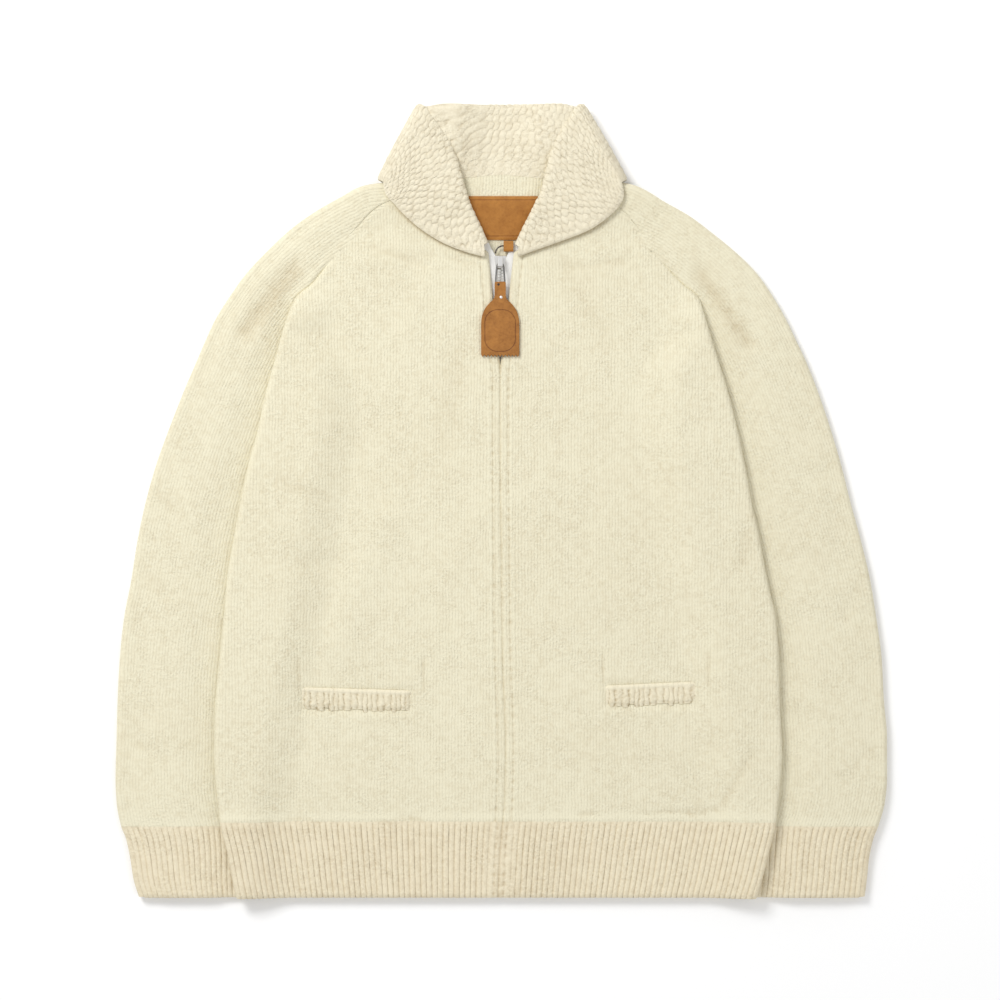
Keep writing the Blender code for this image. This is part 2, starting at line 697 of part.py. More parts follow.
def build_fronts(group, tools):
    """Both fronts with their pocket slits, their hems, welts and bags."""
    for index, side in enumerate(POCKETS["side"]):
        flip = side == "left"
        rows = [front_row(side, y) for y in FRONT_ROWS]
        front = wall("front_" + side, rows, CLOTH, WOOL, group, flip=flip, seams=True)
        reach = HEM_RIBS * len(RIB_SHAPE)
        steps = [(k + 1) / reach for k in range(reach)]
        hem = [front_row(side, y, steps) for y in HEM_ROWS]
        lifts = [ribbed(HEM_RIBS, len(FOLD_ANGLES) - 1, len(hem[0]), reach) for _ in hem]
        wall("hem_front_" + side, hem, CLOTH, RIB_WOOL, group, lifts, flip=flip)
        x0, x1 = POCKETS["welt_left"][index], POCKETS["welt_right"][index]
        top = POCKETS["welt_top"][index]
        count = WELT_RIBS * len(RIB_SHAPE)
        xs = [between(x0, x1, k / count) for k in range(count + 1)]
        ys = (top - WELT_HIGH, top - WELT_HIGH / 2, top)
        laid_on("pocket_welt_" + side, front, xs, ys, WELT_THICK, RIB_WOOL, group, RIB_SHAPE)
        b0, b1 = POCKETS["bag_left"][index], POCKETS["bag_right"][index]
        bag = []
        for y in np.linspace(top + 8, POCKETS["bag_bottom"][index], 6):
            bag.append([(x, y, surface_height(front, x, y, False) - BAG_GAP - BAG_THICK / 2)
                        for x in np.linspace(b0, b1, 10)])
        wall("pocket_bag_" + side, bag, BAG_THICK, WOOL, group, flip=False)
        bm = bmesh.new()
        bmesh.ops.create_cube(bm, size=1.0)
        cutter = tool_piece("slit_" + side, bm, WOOL, tools)
        cutter.scale = ((x1 - x0 - 4) * MM, SLIT_HIGH * MM, 12 * MM)
        middle = (x0 + x1) / 2
        cutter.location = (middle * MM, (top + SLIT_HIGH) * MM, upper(middle, top) * MM)
        cut(front, cutter)


def build_back(group):
    """Back panel and its hem."""
    heights = [back_height(y) for y in FRONT_ROWS if y >= UNDERARM]
    rows = [back_row(y) for y in heights + list(BACK_LOW_ROWS)]
    back = wall("back_panel", rows, CLOTH, WOOL, group, flip=True, seams=True)
    hem = [back_row(y) for y in HEM_ROWS]
    wall("hem_back", hem, CLOTH, RIB_WOOL, group, flip=True)
    return back


def build_sleeves(group):
    """Both sleeves and their ribbed cuffs."""
    for side in ("left", "right"):
        flip = side == "right"
        rows = [sleeve_row(side, y) for y in SLEEVE_ROWS]
        wall("sleeve_" + side, rows, CLOTH, WOOL, group, flip=flip, seams=True)
        cuff = [sleeve_row(side, y, 5, CUFF_RIBS) for y in CUFF_ROWS]
        reach = CUFF_RIBS * len(RIB_SHAPE)
        lifts = [ribbed(CUFF_RIBS, len(FOLD_ANGLES) - 1, len(cuff[0]), reach) for _ in cuff]
        wall("cuff_" + side, cuff, CLOTH, RIB_WOOL, group, lifts, flip=flip)


def build_collar(group):
    """Shawl collar in one piece round the neck."""
    stations = list(zip(COLLAR_STEPS["row"], COLLAR_STEPS["turn"]))
    left = [collar_row("left", u, turned) for u, turned in stations]
    right = [collar_row("right", u, turned) for u, turned in stations[:-1]]
    wall("collar", left + right[::-1], COLLAR_CLOTH, WOOL, group, flip=True)


def build_zip(group):
    """Zip tapes and the closed chain below the slider."""
    ys = (TAPE_TOP, 222, 205, 188, 140, 94, 47, 0, -47, -94, -141, -190, -235, -282, -329, HEM_END)
    for side in ("left", "right"):
        s = sign(side)
        line = []
        for y in ys:
            centre = curve(CENTRE["y"], CENTRE["x"], y)
            x = centre + s * (CHAIN_WIDE / 2 + SEAM + TAPE_WIDE / 2)
            line.append((x, y, lower(centre, y) + TAPE_UP))
        strip("zip_tape_" + side, line, TAPE_WIDE, TAPE_THICK, TAPE_CLOTH, group)
    line = [(curve(CENTRE["y"], CENTRE["x"], y), y, lower(0, y) + CHAIN_UP)
            for y in (SLIDER_LOW - SEAM,) + ys[2:]]
    strip("zip_chain", line, CHAIN_WIDE, CHAIN_THICK, NICKEL, group)


def tool_piece(name, bm, finish, tools):
    """Hidden piece that is joined to another one or taken out of it."""
    piece = finish_mesh(name, bm, finish, tools, smooth=False)
    piece.hide_render = True
    piece.display_type = "WIRE"
    return piece


def soften(thing, width, angle):
    """Small bevel on a hard piece's sharp edges."""
    edges = thing.modifiers.new("edges", "BEVEL")
    edges.width = width * MM
    edges.segments = 1
    edges.limit_method = "ANGLE"
    edges.angle_limit = math.radians(angle)


def build_slider(group, tools):
    """Slider: two plates, a post and a bridge that holds the wire loop."""
    x, high = SLIDER_X, SLIDER_HIGH
    half = [(d, high - down) for d, down in zip(*PLATE_HALF.values())]
    plate = [(x + d, y) for d, y in half] + [(x - d, y) for d, y in reversed(half)]
    slider = finish_mesh("zip_slider", prism(plate, PLATE_HIGH_Z, PLATE_HIGH_Z + PLATE_THICK), NICKEL,
                         group, smooth=False)
    post = rounded(x - POST_WIDE / 2, x + POST_WIDE / 2, high - POST_DOWN[0], high - POST_DOWN[1], 0.8)
    bridge = prism([(z, high - down) for down, z in zip(*BRIDGE.values())], -BRIDGE_WIDE / 2, BRIDGE_WIDE / 2)
    for v in bridge.verts:
        v.co = (v.co.z + x * MM, v.co.y, v.co.x)
    parts = (prism(plate, PLATE_LOW_Z, PLATE_LOW_Z + PLATE_THICK - 0.1),
             prism(post, PLATE_LOW_Z + 0.5, PLATE_HIGH_Z + 0.6), bridge)
    for index, bm in enumerate(parts):
        tool = slider.modifiers.new("join", "BOOLEAN")
        tool.operation = "UNION"
        tool.solver = "EXACT"
        tool.object = tool_piece("slider_part_" + str(index), bm, NICKEL, tools)
    bm = prism(rounded(high - HOLE_DOWN[1], high - HOLE_DOWN[0], *HOLE_Z, 0.5), -HOLE_WIDE / 2, HOLE_WIDE / 2)
    for v in bm.verts:
        v.co = (v.co.z + x * MM, v.co.x, v.co.y)
    cut(slider, tool_piece("bridge_hole", bm, NICKEL, tools))
    soften(slider, 0.2, 50)


def eye_cylinder(radius, length, segments):
    """Cylinder along X about the wire that the tab is folded round."""
    bm = bmesh.new()
    bmesh.ops.create_cone(bm, cap_ends=True, segments=segments, radius1=radius * MM, radius2=radius * MM,
                          depth=length * MM)
    for v in bm.verts:
        v.co = (v.co.z + SLIDER_X * MM, v.co.x + LOOP_END * MM, v.co.y + HINGE_Z * MM)
    return bm


def build_pull(group, tools):
    """Wire loop in the slider's bridge and the leather tab folded round it."""
    x = SLIDER_X
    half = LOOP_WIDE / 2 - WIRE / 2
    line = [(px, py, HINGE_Z) for px, py in rounded(x - half, x + half, LOOP_END, HINGE_Y, LOOP_CORNER)]
    wire("pull_loop", line, WIRE / 2, NICKEL, group, True)
    low = HINGE_Z - TAB_THICK / 2
    shoulder = list(zip(*TAB_HALF.values()))
    wide = shoulder[-1][0]
    outline = [(x - d, y) for d, y in shoulder]
    for k in range(TAB_TEETH + 1):
        px = between(x - wide, x + wide, k / TAB_TEETH)
        outline.append((px, TAB_END + TOOTH_HIGH))
        if k < TAB_TEETH:
            outline.append((px + wide / TAB_TEETH, TAB_END))
    outline += [(x + d, y) for d, y in reversed(shoulder)]
    tab = finish_mesh("pull_tab", prism(outline, low, low + TAB_THICK), LEATHER, group, smooth=False)
    eye = tool_piece("tab_eye", eye_cylinder(EYE_RADIUS, EYE_WIDE, 20), LEATHER, tools)
    bore = tool_piece("eye_bore", eye_cylinder(EYE_BORE, 4 * EYE_WIDE, 16), LEATHER, tools)
    for piece, kind in ((eye, "UNION"), (bore, "DIFFERENCE")):
        tool = tab.modifiers.new("eye", "BOOLEAN")
        tool.operation = kind
        tool.solver = "EXACT"
        tool.object = piece
    soften(tab, 0.3, 60)


def build_neck_trim(group, back):
    """Leather label inside the back neck, the hang loop below it and its wire ring."""
    xs = np.linspace(-LABEL_WIDE / 2, LABEL_WIDE / 2, 9)
    ys = np.linspace(LABEL_END, LABEL_TOP, 7)
    laid_on("neck_label", back, xs, ys, LABEL_THICK, LEATHER, group)
    line = [(STRAP_X, y, RING_Z - STRAP_TURN) for y in STRAP_Y]
    for angle in (45, 90, 135):
        a = math.radians(angle)
        line.append((STRAP_X, STRAP_Y[-1] - STRAP_TURN * math.sin(a), RING_Z - STRAP_TURN * math.cos(a)))
    line += [(STRAP_X, y, RING_Z + STRAP_TURN) for y in reversed(STRAP_Y)]
    strip("hang_loop", line, STRAP_WIDE, STRAP_THICK, LEATHER, group)
    points = []
    for k in range(RING_POINTS):
        a = math.radians(RING_FROM + RING_STEP * k)
        points.append((RING_X + RING_RADIUS * math.cos(a), RING_Y + RING_RADIUS * math.sin(a), RING_Z))
    wire("hang_ring", points, RING_WIRE / 2, DARK_METAL, group, False)


def main():
    """Builds every piece of the sweater."""
    for thing in list(bpy.data.objects):
        bpy.data.objects.remove(thing)
    group = bpy.data.collections.new(NAME)
    tools = bpy.data.collections.new("cutters")
    bpy.context.scene.collection.children.link(group)
    bpy.context.scene.collection.children.link(tools)
    build_fronts(group, tools)
    back = build_back(group)
    build_sleeves(group)
    build_collar(group)
    build_zip(group)
    build_slider(group, tools)
    build_pull(group, tools)
    build_neck_trim(group, back)


main()
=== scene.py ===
"""Cream chunky-knit sweater with raglan sleeves, a shawl collar and a front zip, lying flat.

Lengths in the tables are millimetres, as in a knitter's chart. The model is in metres, +Z up, +Y toward the
collar and +X to the right of the view from above.
"""

import logging
import math
from dataclasses import dataclass
from enum import Enum
from typing import Protocol

import bmesh
import bpy
import numpy as np
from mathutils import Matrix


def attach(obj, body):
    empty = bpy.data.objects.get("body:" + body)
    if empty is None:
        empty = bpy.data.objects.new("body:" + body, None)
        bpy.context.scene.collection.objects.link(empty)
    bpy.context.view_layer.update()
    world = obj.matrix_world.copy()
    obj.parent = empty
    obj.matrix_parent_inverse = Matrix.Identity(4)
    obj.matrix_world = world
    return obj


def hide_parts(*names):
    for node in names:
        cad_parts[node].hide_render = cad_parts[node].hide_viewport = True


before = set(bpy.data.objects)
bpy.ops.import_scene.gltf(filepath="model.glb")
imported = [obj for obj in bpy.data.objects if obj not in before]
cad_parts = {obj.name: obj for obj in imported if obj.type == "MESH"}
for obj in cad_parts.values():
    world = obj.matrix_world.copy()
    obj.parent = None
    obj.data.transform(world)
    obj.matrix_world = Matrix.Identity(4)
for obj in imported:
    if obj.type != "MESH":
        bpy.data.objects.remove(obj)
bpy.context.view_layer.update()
LOG = logging.getLogger("sweater")
MM = 0.001
Numbers = np.ndarray | float
Socket = bpy.types.NodeSocket
Piece = bpy.types.Object
Material = bpy.types.Material


class Side(Enum):
    """Side of the sweater as the view from above shows it."""

    LEFT = "left"
    RIGHT = "right"

    @property
    def sign(self) -> float:
        """Direction of this side along X."""
        return -1.0 if self is Side.LEFT else 1.0


class Knit(Enum):
    """Kind of knit that a piece shows."""

    STOCKINETTE = "stockinette"
    RIB = "rib"
    RIDGE = "ridge"


def smooth_step(low: float, high: float, value: Numbers) -> np.ndarray:
    """Smooth step from 0 at low to 1 at high."""
    t = np.clip((np.asarray(value, float) - low) / (high - low), 0.0, 1.0)
    return t * t * (3.0 - 2.0 * t)


def blend(a: Numbers, b: Numbers, t: Numbers) -> np.ndarray:
    """Straight blend of two values."""
    return a + (b - a) * t


def bell(away: Numbers, width: float) -> np.ndarray:
    """1 on a line, falling softly to 0 beside it."""
    return np.exp(-(away / width) ** 2)


def curved(t: np.ndarray, gap: np.ndarray, ends: tuple[np.ndarray, ...],
           slopes: tuple[np.ndarray, ...]) -> np.ndarray:
    """Smooth curve from one end to the other with a slope at each, t from 0 to 1 over the gap."""
    return ((2 * t ** 3 - 3 * t ** 2 + 1) * ends[0] + (t ** 3 - 2 * t ** 2 + t) * gap * slopes[0]
            + (3 * t ** 2 - 2 * t ** 3) * ends[1] + (t ** 3 - t ** 2) * gap * slopes[1])


def joined(*parts: np.ndarray) -> np.ndarray:
    """Arrays side by side along a new last axis."""
    return np.stack(np.broadcast_arrays(*parts), axis=-1)


@dataclass(frozen=True)
class Chart:
    """Table of sizes in millimetres, read as a smooth curve that does not overshoot its rows."""

    keys: tuple[float, ...]
    columns: dict[str, tuple[float, ...]]

    def at(self, column: str, where: Numbers) -> np.ndarray:
        """Value of a column.

        Args:
            column: Name of the column.
            where: Places along the key column.

        Returns:
            The curve's value at each place.
        """
        keys = np.asarray(self.keys, float)
        values = np.asarray(self.columns[column], float)
        place = np.clip(np.asarray(where, float), keys[0], keys[-1])
        i = np.clip(np.searchsorted(keys, place, side="right") - 1, 0, len(keys) - 2)
        gaps = np.diff(keys)
        slopes = np.diff(values) / gaps
        before, after = slopes[:-1], slopes[1:]
        total = before + after
        mean = np.where(before * after > 0.0, 2.0 * before * after / np.where(total == 0.0, 1.0, total), 0.0)
        tangent = np.concatenate(([slopes[0]], mean, [slopes[-1]]))
        h = gaps[i]
        t = (place - keys[i]) / h
        return curved(t, h, (values[i], values[i + 1]), (tangent[i], tangent[i + 1]))


EDGE = Chart(
    (-373, -357, -333, -303, -269, -239, -194, -152, -112, -75, -37, 0, 33, 66, 99, 135, 168, 191, 204, 222,
     236, 253, 268, 276, 280, 282),
    {
        "left": (-249, -252.5, -257, -264, -268, -270, -269, -265, -261, -258, -252, -245, -238, -229, -222,
                 -212, -203, -194, -180, -165, -151, -135, -121, -108, -94, -83),
        "right": (240, 245, 251, 258, 262, 264, 262, 261, 258, 250, 243, 235, 229, 222, 214, 203, 193, 186,
                  172, 155, 141, 127, 114, 103, 93, 83),
    },
)
UNDER = Chart(
    (-373, -306, -284, -263, -225, -188, -150, -112, -75, -37, 0, 31, 63, 98, 127, 146, 160, 191, 300),
    {"reach": (6, 21, 28, 34, 42, 47, 50, 53, 57, 57, 57, 56, 52, 45, 30, 13, 3.2, 2.6, 0)},
)
SLEEVE = Chart(
    (-373, -357, -338, -319, -306, -284, -263, -225, -188, -150, -112, -75, -37, 0, 32, 63, 98, 127, 146, 160,
     176, 191, 205, 222, 236, 253, 268, 276, 280, 282),
    {
        "left_x": (-342, -347, -350, -354, -359, -363, -364, -363, -362, -360, -356, -349, -343, -335, -326,
                   -315, -301, -287, -278, -270, -257, -243, -219, -196, -173, -151, -131, -114, -99, -85),
        "left_y": (-373, -357, -338, -319, -306, -284, -263, -225, -188, -150, -112, -75, -37, 0, 32, 63, 99,
                   132, 153, 170, 191, 211, 237, 258, 274, 286, 296, 299, 300, 301),
        "right_x": (343, 345, 347, 351, 356, 362, 364, 364, 361, 359, 354, 348, 339, 329, 321, 312, 300, 287,
                    277, 269, 257, 242, 220, 198, 178, 153, 138, 121, 104, 87),
        "right_y": (-373, -357, -338, -319, -306, -284, -263, -225, -188, -150, -112, -75, -37, 0, 32, 63,
                    99, 132, 153, 170, 191, 213, 235, 253, 268, 282, 291, 298, 300, 301),
    },
)
BACK_RAGLAN = {
    "y": (248, 262, 275, 283, 290),
    "left": (-138, -121, -102, -91.5, -82),
    "right": (131, 116, 99.5, 91, 82),
}
CENTRE = Chart((-373, -329, -282, -235, -141, -47, 47, 94, 188, 240),
               {"x": (-3, -1, 3, 4, 1, 0, -1, -1, -0.5, 0)})
FRONT_EDGE = {
    "y": (-373, 118, 146, 188, 233, 243, 258, 273, 282),
    "open": (0.3, 0.3, 4, 8.6, 13.6, 29, 50, 67, 78),
}
COLLAR_SEAM_X = (17.6, 26, 39, 55, 69, 78.2, 79.4, 82.2, 74, 61, 34, 0)
COLLAR_SEAM_Y = (236.6, 242.2, 251.2, 263.4, 276, 284.4, 289, 298.2, 294.8, 299.2, 305.2, 308.2)
COLLAR_FACES = (46, 37, 29, 25, 20, 16, 26, 60, 90, 90, 90, 90)
COLLAR = {
    Side.LEFT: Chart(tuple(range(12)), {
        "seam_x": tuple(-x for x in COLLAR_SEAM_X),
        "seam_y": COLLAR_SEAM_Y,
        "roll_x": (-12.8, -17, -23, -29, -33, -38, -46, -75.4, -56, -43, -24, 0),
        "roll_y": (244, 254, 267, 280, 293, 311, 336, 373.2, 373.7, 373.7, 373.7, 373.7),
        "edge_x": (-15.4, -29, -53, -76, -91, -100.5, -107, -115.5, -103, -84, -48, 0),
        "edge_y": (230.8, 234, 243, 257, 270, 280, 287, 303, 303, 299, 295, 293),
        "faces": COLLAR_FACES,
    }),
    Side.RIGHT: Chart(tuple(range(12)), {
        "seam_x": COLLAR_SEAM_X,
        "seam_y": COLLAR_SEAM_Y,
        "roll_x": (13, 17.5, 24, 31, 36, 41.5, 48, 74.4, 56, 43, 24, 0),
        "roll_y": (242, 252, 265, 279, 289, 311, 336, 373.2, 373.7, 373.7, 373.7, 373.7),
        "edge_x": (15.4, 32, 55, 83, 98, 108, 113.5, 117.5, 103, 84, 48, 0),
        "edge_y": (231, 237, 245, 256, 266, 275, 284, 302.5, 303, 299, 295, 293),
        "faces": COLLAR_FACES,
    }),
}
# Soft folds and creases: a line on the cloth, how wide it is and how high (minus is a trough)
FOLDS = {
    "from_x": (-109, -190, 93, 214, -206, 198, -140, 150),
    "from_y": (-18, -57, -85, -57, 190, 190, 226, 226),
    "to_x": (-151, -155, 140, 236, -196, 190, -96, 110),
    "to_y": (-132, -60, -131, -110, 120, 110, 236, 238),
    "width": (26, 16, 20, 18, 20, 20, 22, 22),
    "height": (1.6, -1.0, 1.4, -1.0, -0.8, -0.8, 1.0, 0.8),
}
CREASES = {
    "from_x": (-193, 188, -122, -75, -60, 60, 120, 236, 130, -20, -190, 150, 236, -205, 95, -40, 30, -170),
    "from_y": (215, 213, 238, 232, 226, 222, 226, -238, -296, -20, -250, 60, -10, 20, -40, 150, 120, 130),
    "to_x": (-222, 228, -70, -30, -90, 100, 60, 205, 200, -60, -150, 190, 226, -170, 60, -50, 45, -130),
    "to_y": (165, 150, 221, 224, 160, 150, 218, -290, -291, -90, -285, 20, -60, 0, -120, 60, 20, 90),
    "width": (7, 8, 5, 4, 14, 16, 6, 7, 4, 18, 10, 14, 9, 10, 16, 16, 18, 14),
    "height": (-1.7, -1.6, -0.7, -0.6, 0.6, -0.6, -0.5, -0.7, -0.6, 0.5, 0.5, 0.6, -0.7, -0.5, 0.5, -0.5, 0.4,
               0.5),
}
SLEEVE_CREASES = {
    "from_x": (-195, 188, -300, 300, -345, 345, -330, 318, -355, 352, -250, 250),
    "from_y": (218, 214, 60, 60, -60, -70, 10, 40, -220, -230, 170, 172),
    "to_x": (-241, 232, -290, 300, -318, 322, -305, 296, -320, 322, -285, 290),
    "to_y": (160, 148, -20, -40, -90, -110, -10, 20, -240, -262, 90, 95),
    "width": (14, 12, 12, 14, 9, 9, 8, 8, 10, 10, 10, 10),
    "height": (-2.0, -1.8, 0.7, 0.7, -0.7, -0.7, -0.6, -0.6, -0.6, -0.6, 0.6, 0.6),
}


def lines_height(table: dict[str, tuple[float, ...]], x: np.ndarray, y: np.ndarray) -> np.ndarray:
    """Height of soft lines laid on the cloth.

    Args:
        table: Folds or creases, with the two ends, the width and the height of each.
        x: Places along X in millimetres.
        y: Places along Y in millimetres.

    Returns:
        Sum of the heights at each place.
    """
    total = np.zeros(np.broadcast(x, y).shape)
    for ax, ay, bx, by, width, height in zip(*table.values()):
        dx, dy = bx - ax, by - ay
        t = np.clip(((x - ax) * dx + (y - ay) * dy) / (dx * dx + dy * dy), 0.0, 1.0)
        away = np.hypot(x - ax - dx * t, y - ay - dy * t)
        total = total + height * np.exp(-2.0 * (away / width) ** 2)
    return total


@dataclass(frozen=True)
class Form:
    """How the sweater's layers lie on each other: heights of the middle of each layer."""

    cloth: float = 3.8
    wale: float = 5.85
    course: float = 4.4
    hem_top: float = -301.9
    hem_end: float = -373.0
    seam: float = -0.5
    seam_share: float = 0.4
    neck_air: float = 6.2
    body_air: float = 7.3
    side_fold: float = 7.0
    sleeve_fold: float = 6.6
    sleeve_gap: float = 8.2
    sleeve_under: float = 4.5
    side_rise: float = 9.0
    cuff_rise: float = 1.2
    side_ramp: float = 46.0
    neck_rise: float = 5.6
    fold_low: float = 213.0
    fold_high: float = 233.0
    underarm: float = 191.0
    neck_top: float = 281.6
    back_top: float = 290.0
    back_rise: float = 17.0
    fold_step: float = 5.7
    fold_room: float = -0.3

    def body_edge(self, side: Side, y: Numbers) -> np.ndarray:
        """X of the body's side fold, or of the front raglan seam."""
        return EDGE.at(side.value, y)

    def sleeve_inner(self, side: Side, y: Numbers) -> np.ndarray:
        """X of the sleeve's inner fold, which lies below the body."""
        return self.body_edge(side, y) - side.sign * UNDER.at("reach", y)

    def neck_lift(self, x: Numbers, y: Numbers) -> np.ndarray:
        """How far the collar's back fold lifts the neck."""
        return self.neck_rise * smooth_step(241, 291, y) * (1.0 - smooth_step(120, 185, np.abs(x)))

    def side_lift(self, x: np.ndarray, y: np.ndarray) -> np.ndarray:
        """How far the sleeves folded behind lift the sides of the body."""
        low = np.minimum(y, self.underarm)
        left, right = (self.sleeve_inner(side, low) for side in Side)
        inner = np.abs(np.where(np.asarray(x) < 0, left, right))
        high = self.side_rise + self.cuff_rise * (1.0 - smooth_step(-306, -284, y))
        t = np.clip((np.abs(x) - inner + self.side_ramp) / (self.side_ramp + 1.0), 0.0, 1.0)
        return high * (1.0 - smooth_step(164, 207, y)) * t * t * (3.0 - 2.0 * t)

    def edge_air(self, y: Numbers) -> np.ndarray:
        """Distance between the layers at a raglan seam or at the side fold."""
        return blend(self.side_fold, self.neck_air, smooth_step(236, 262, y))

    def air(self, x: np.ndarray, y: np.ndarray) -> np.ndarray:
        """Distance between the middle of the back and the middle of the front."""
        left, right = (self.body_edge(side, y) for side in Side)
        edge = np.abs(np.where(np.asarray(x) < 0, left, right))
        inside = smooth_step(0.0, 42.0, edge - np.abs(x))
        deep = blend(self.body_air, self.neck_air, smooth_step(244, 272, y))
        return blend(self.edge_air(y), deep, inside) + lines_height(FOLDS, x, y) * inside

    def lower(self, x: np.ndarray, y: np.ndarray) -> np.ndarray:
        """Height of the middle of the back panel."""
        return self.cloth / 2 + self.neck_lift(x, y) + self.side_lift(x, y)

    def upper(self, x: np.ndarray, y: np.ndarray) -> np.ndarray:
        """Height of the middle of the fronts."""
        return self.lower(x, y) + self.air(x, y)

    def folded(self, y: Numbers) -> np.ndarray:
        """1 where an edge is folded over, 0 where it lies flat in the raglan seam."""
        return 1.0 - smooth_step(self.fold_low, self.fold_high, y)

    def slant(self, side: Side, y: Numbers) -> np.ndarray:
        """Length along a seam for each millimetre of height."""
        slope = (self.body_edge(side, np.asarray(y) + 2) - self.body_edge(side, np.asarray(y) - 2)) / 4
        return np.minimum(1.6, np.hypot(1.0, slope))

    def apart(self, side: Side, y: Numbers) -> np.ndarray:
        """How far a seam's two edges lie apart, toward the sleeve."""
        return side.sign * self.seam * self.seam_share * self.slant(side, y)

    def front_edge(self, side: Side, y: Numbers) -> np.ndarray:
        """X of a front's zip edge or neck edge."""
        return CENTRE.at("x", y) + side.sign * np.interp(y, FRONT_EDGE["y"], FRONT_EDGE["open"])

    def back_seam(self, side: Side, y: np.ndarray) -> np.ndarray:
        """X of the back's edge."""
        low = float(self.body_edge(side, self.fold_high))
        raglan = Chart((self.fold_high, *BACK_RAGLAN["y"]), {"x": (low, *BACK_RAGLAN[side.value])})
        return np.where(np.asarray(y) > self.fold_high, raglan.at("x", y), self.body_edge(side, y))

    def back_height(self, front_y: Numbers) -> np.ndarray:
        """Height on the back raglan that meets a height on the front raglan."""
        share = (np.asarray(front_y, float) - self.fold_high) / (self.neck_top - self.fold_high)
        return np.where(share <= 0, front_y, self.fold_high + (self.back_top - self.fold_high) * share)

    def turned_edge(self, edge: np.ndarray, toward: np.ndarray, y: np.ndarray, share: np.ndarray,
                    flat_z: np.ndarray, low: np.ndarray, high: np.ndarray,
                    up: float) -> tuple[np.ndarray, np.ndarray]:
        """Edge of a layer, flat in its seam or rolled round the side fold.

        Args:
            edge: X of the edge.
            toward: Direction into the piece along X, with its slant.
            y: Height of each row.
            share: Place across the turned strip, 0 at the edge and 1 where it is flat.
            flat_z: Height of the layer in a flat seam.
            low: Height of the lower layer.
            high: Height of the upper layer.
            up: 1 for the upper layer, -1 for the lower one.

        Returns:
            X and Z of the points.
        """
        radius = (high - low) / 2
        angle = np.radians(4.0 + 86.0 * share)
        folded = self.folded(y)
        rolled_x = edge + toward * (self.cloth / 2 + radius * (1.0 - np.cos(angle)))
        rolled_z = (high + low) / 2 + up * radius * np.sin(angle)
        flat_x = edge + toward * share * self.fold_step
        room = toward * self.fold_room * np.sin(np.pi * folded)
        return blend(flat_x, rolled_x, folded) + room, blend(flat_z, rolled_z, folded)


FORM = Form()


class Graph:
    """Node tree of one material, with short calls for the nodes that it needs."""

    def __init__(self, name: str) -> None:
        """Starts a material with a Principled shader.

        Args:
            name: Name of the material.
        """
        self.material = bpy.data.materials.new(name)
        self.material.use_nodes = True
        self.tree = self.material.node_tree
        self.shader = self.tree.nodes["Principled BSDF"]

    def node(self, kind: str, inputs: dict[int | str, object] | None = None,
             **settings: object) -> bpy.types.Node:
        """Adds a node.

        Args:
            kind: Type of the node.
            inputs: Values or sockets for its inputs.
            **settings: Properties of the node.

        Returns:
            The new node.
        """
        made = self.tree.nodes.new(kind)
        for key, value in settings.items():
            setattr(made, key, value)
        for key, value in (inputs or {}).items():
            self.feed(made.inputs[key], value)
        return made

    def feed(self, socket: Socket, value: object) -> None:
        """Sets a socket's value or links another socket to it."""
        if isinstance(value, Socket):
            self.tree.links.new(value, socket)
        else:
            socket.default_value = value

    def math(self, operation: str, *values: object) -> Socket:
        """Result of a Math node."""
        made = self.node("ShaderNodeMath", dict(enumerate(values)), operation=operation)
        return made.outputs[0]

    def add(self, a: object, b: object) -> Socket:
        """Sum of two values."""
        return self.math("ADD", a, b)

    def times(self, a: object, b: object) -> Socket:
        """Product of two values."""
        return self.math("MULTIPLY", a, b)

    def wave(self, value: object) -> Socket:
        """One arch of a sine over each whole step of a value."""
        return self.math("SINE", self.times(self.math("FRACT", value), math.pi))

    def mix(self, share: object, a: tuple[float, ...], b: tuple[float, ...]) -> Socket:
        """Blend of two colours."""
        return self.node("ShaderNodeMix", {0: share, 6: (*a, 1.0), 7: (*b, 1.0)}, data_type="RGBA").outputs[2]

    def surface(self, **values: object) -> None:
        """Sets the shader's inputs, which are named with _ for each space."""
        for name, value in values.items():
            self.feed(self.shader.inputs[name.replace("_", " ")], value)

    def noise(self, place: object, scale: float, detail: float = 2.0, rough: float = 0.5) -> Socket:
        """Value of a noise texture at a place."""
        made = self.node("ShaderNodeTexNoise", {"Vector": place, "Scale": scale, "Detail": detail,
                                                "Roughness": rough})
        return made.outputs["Fac"]

    def object_place(self) -> Socket:
        """Object coordinates in metres."""
        return self.node("ShaderNodeTexCoord").outputs["Object"]

    def ramp(self, value: object, low: float, high: float, start: float = 0.0,
             end: float = 1.0) -> Socket:
        """Value mapped from one range to another and clamped."""
        made = self.node("ShaderNodeMapRange", {0: value, 1: low, 2: high, 3: start, 4: end})
        return made.outputs[0]

    def bump(self, height: object, distance: float, strength: float = 1.0) -> None:
        """Relief in millimetres on the shader's normal."""
        inputs = {"Height": height, "Distance": distance * MM, "Strength": strength}
        self.surface(Normal=self.node("ShaderNodeBump", inputs).outputs["Normal"])


class Finish(Protocol):
    """What every finish has."""

    name: str
    slot: str

    def make(self) -> Material:
        """Material of the finish."""


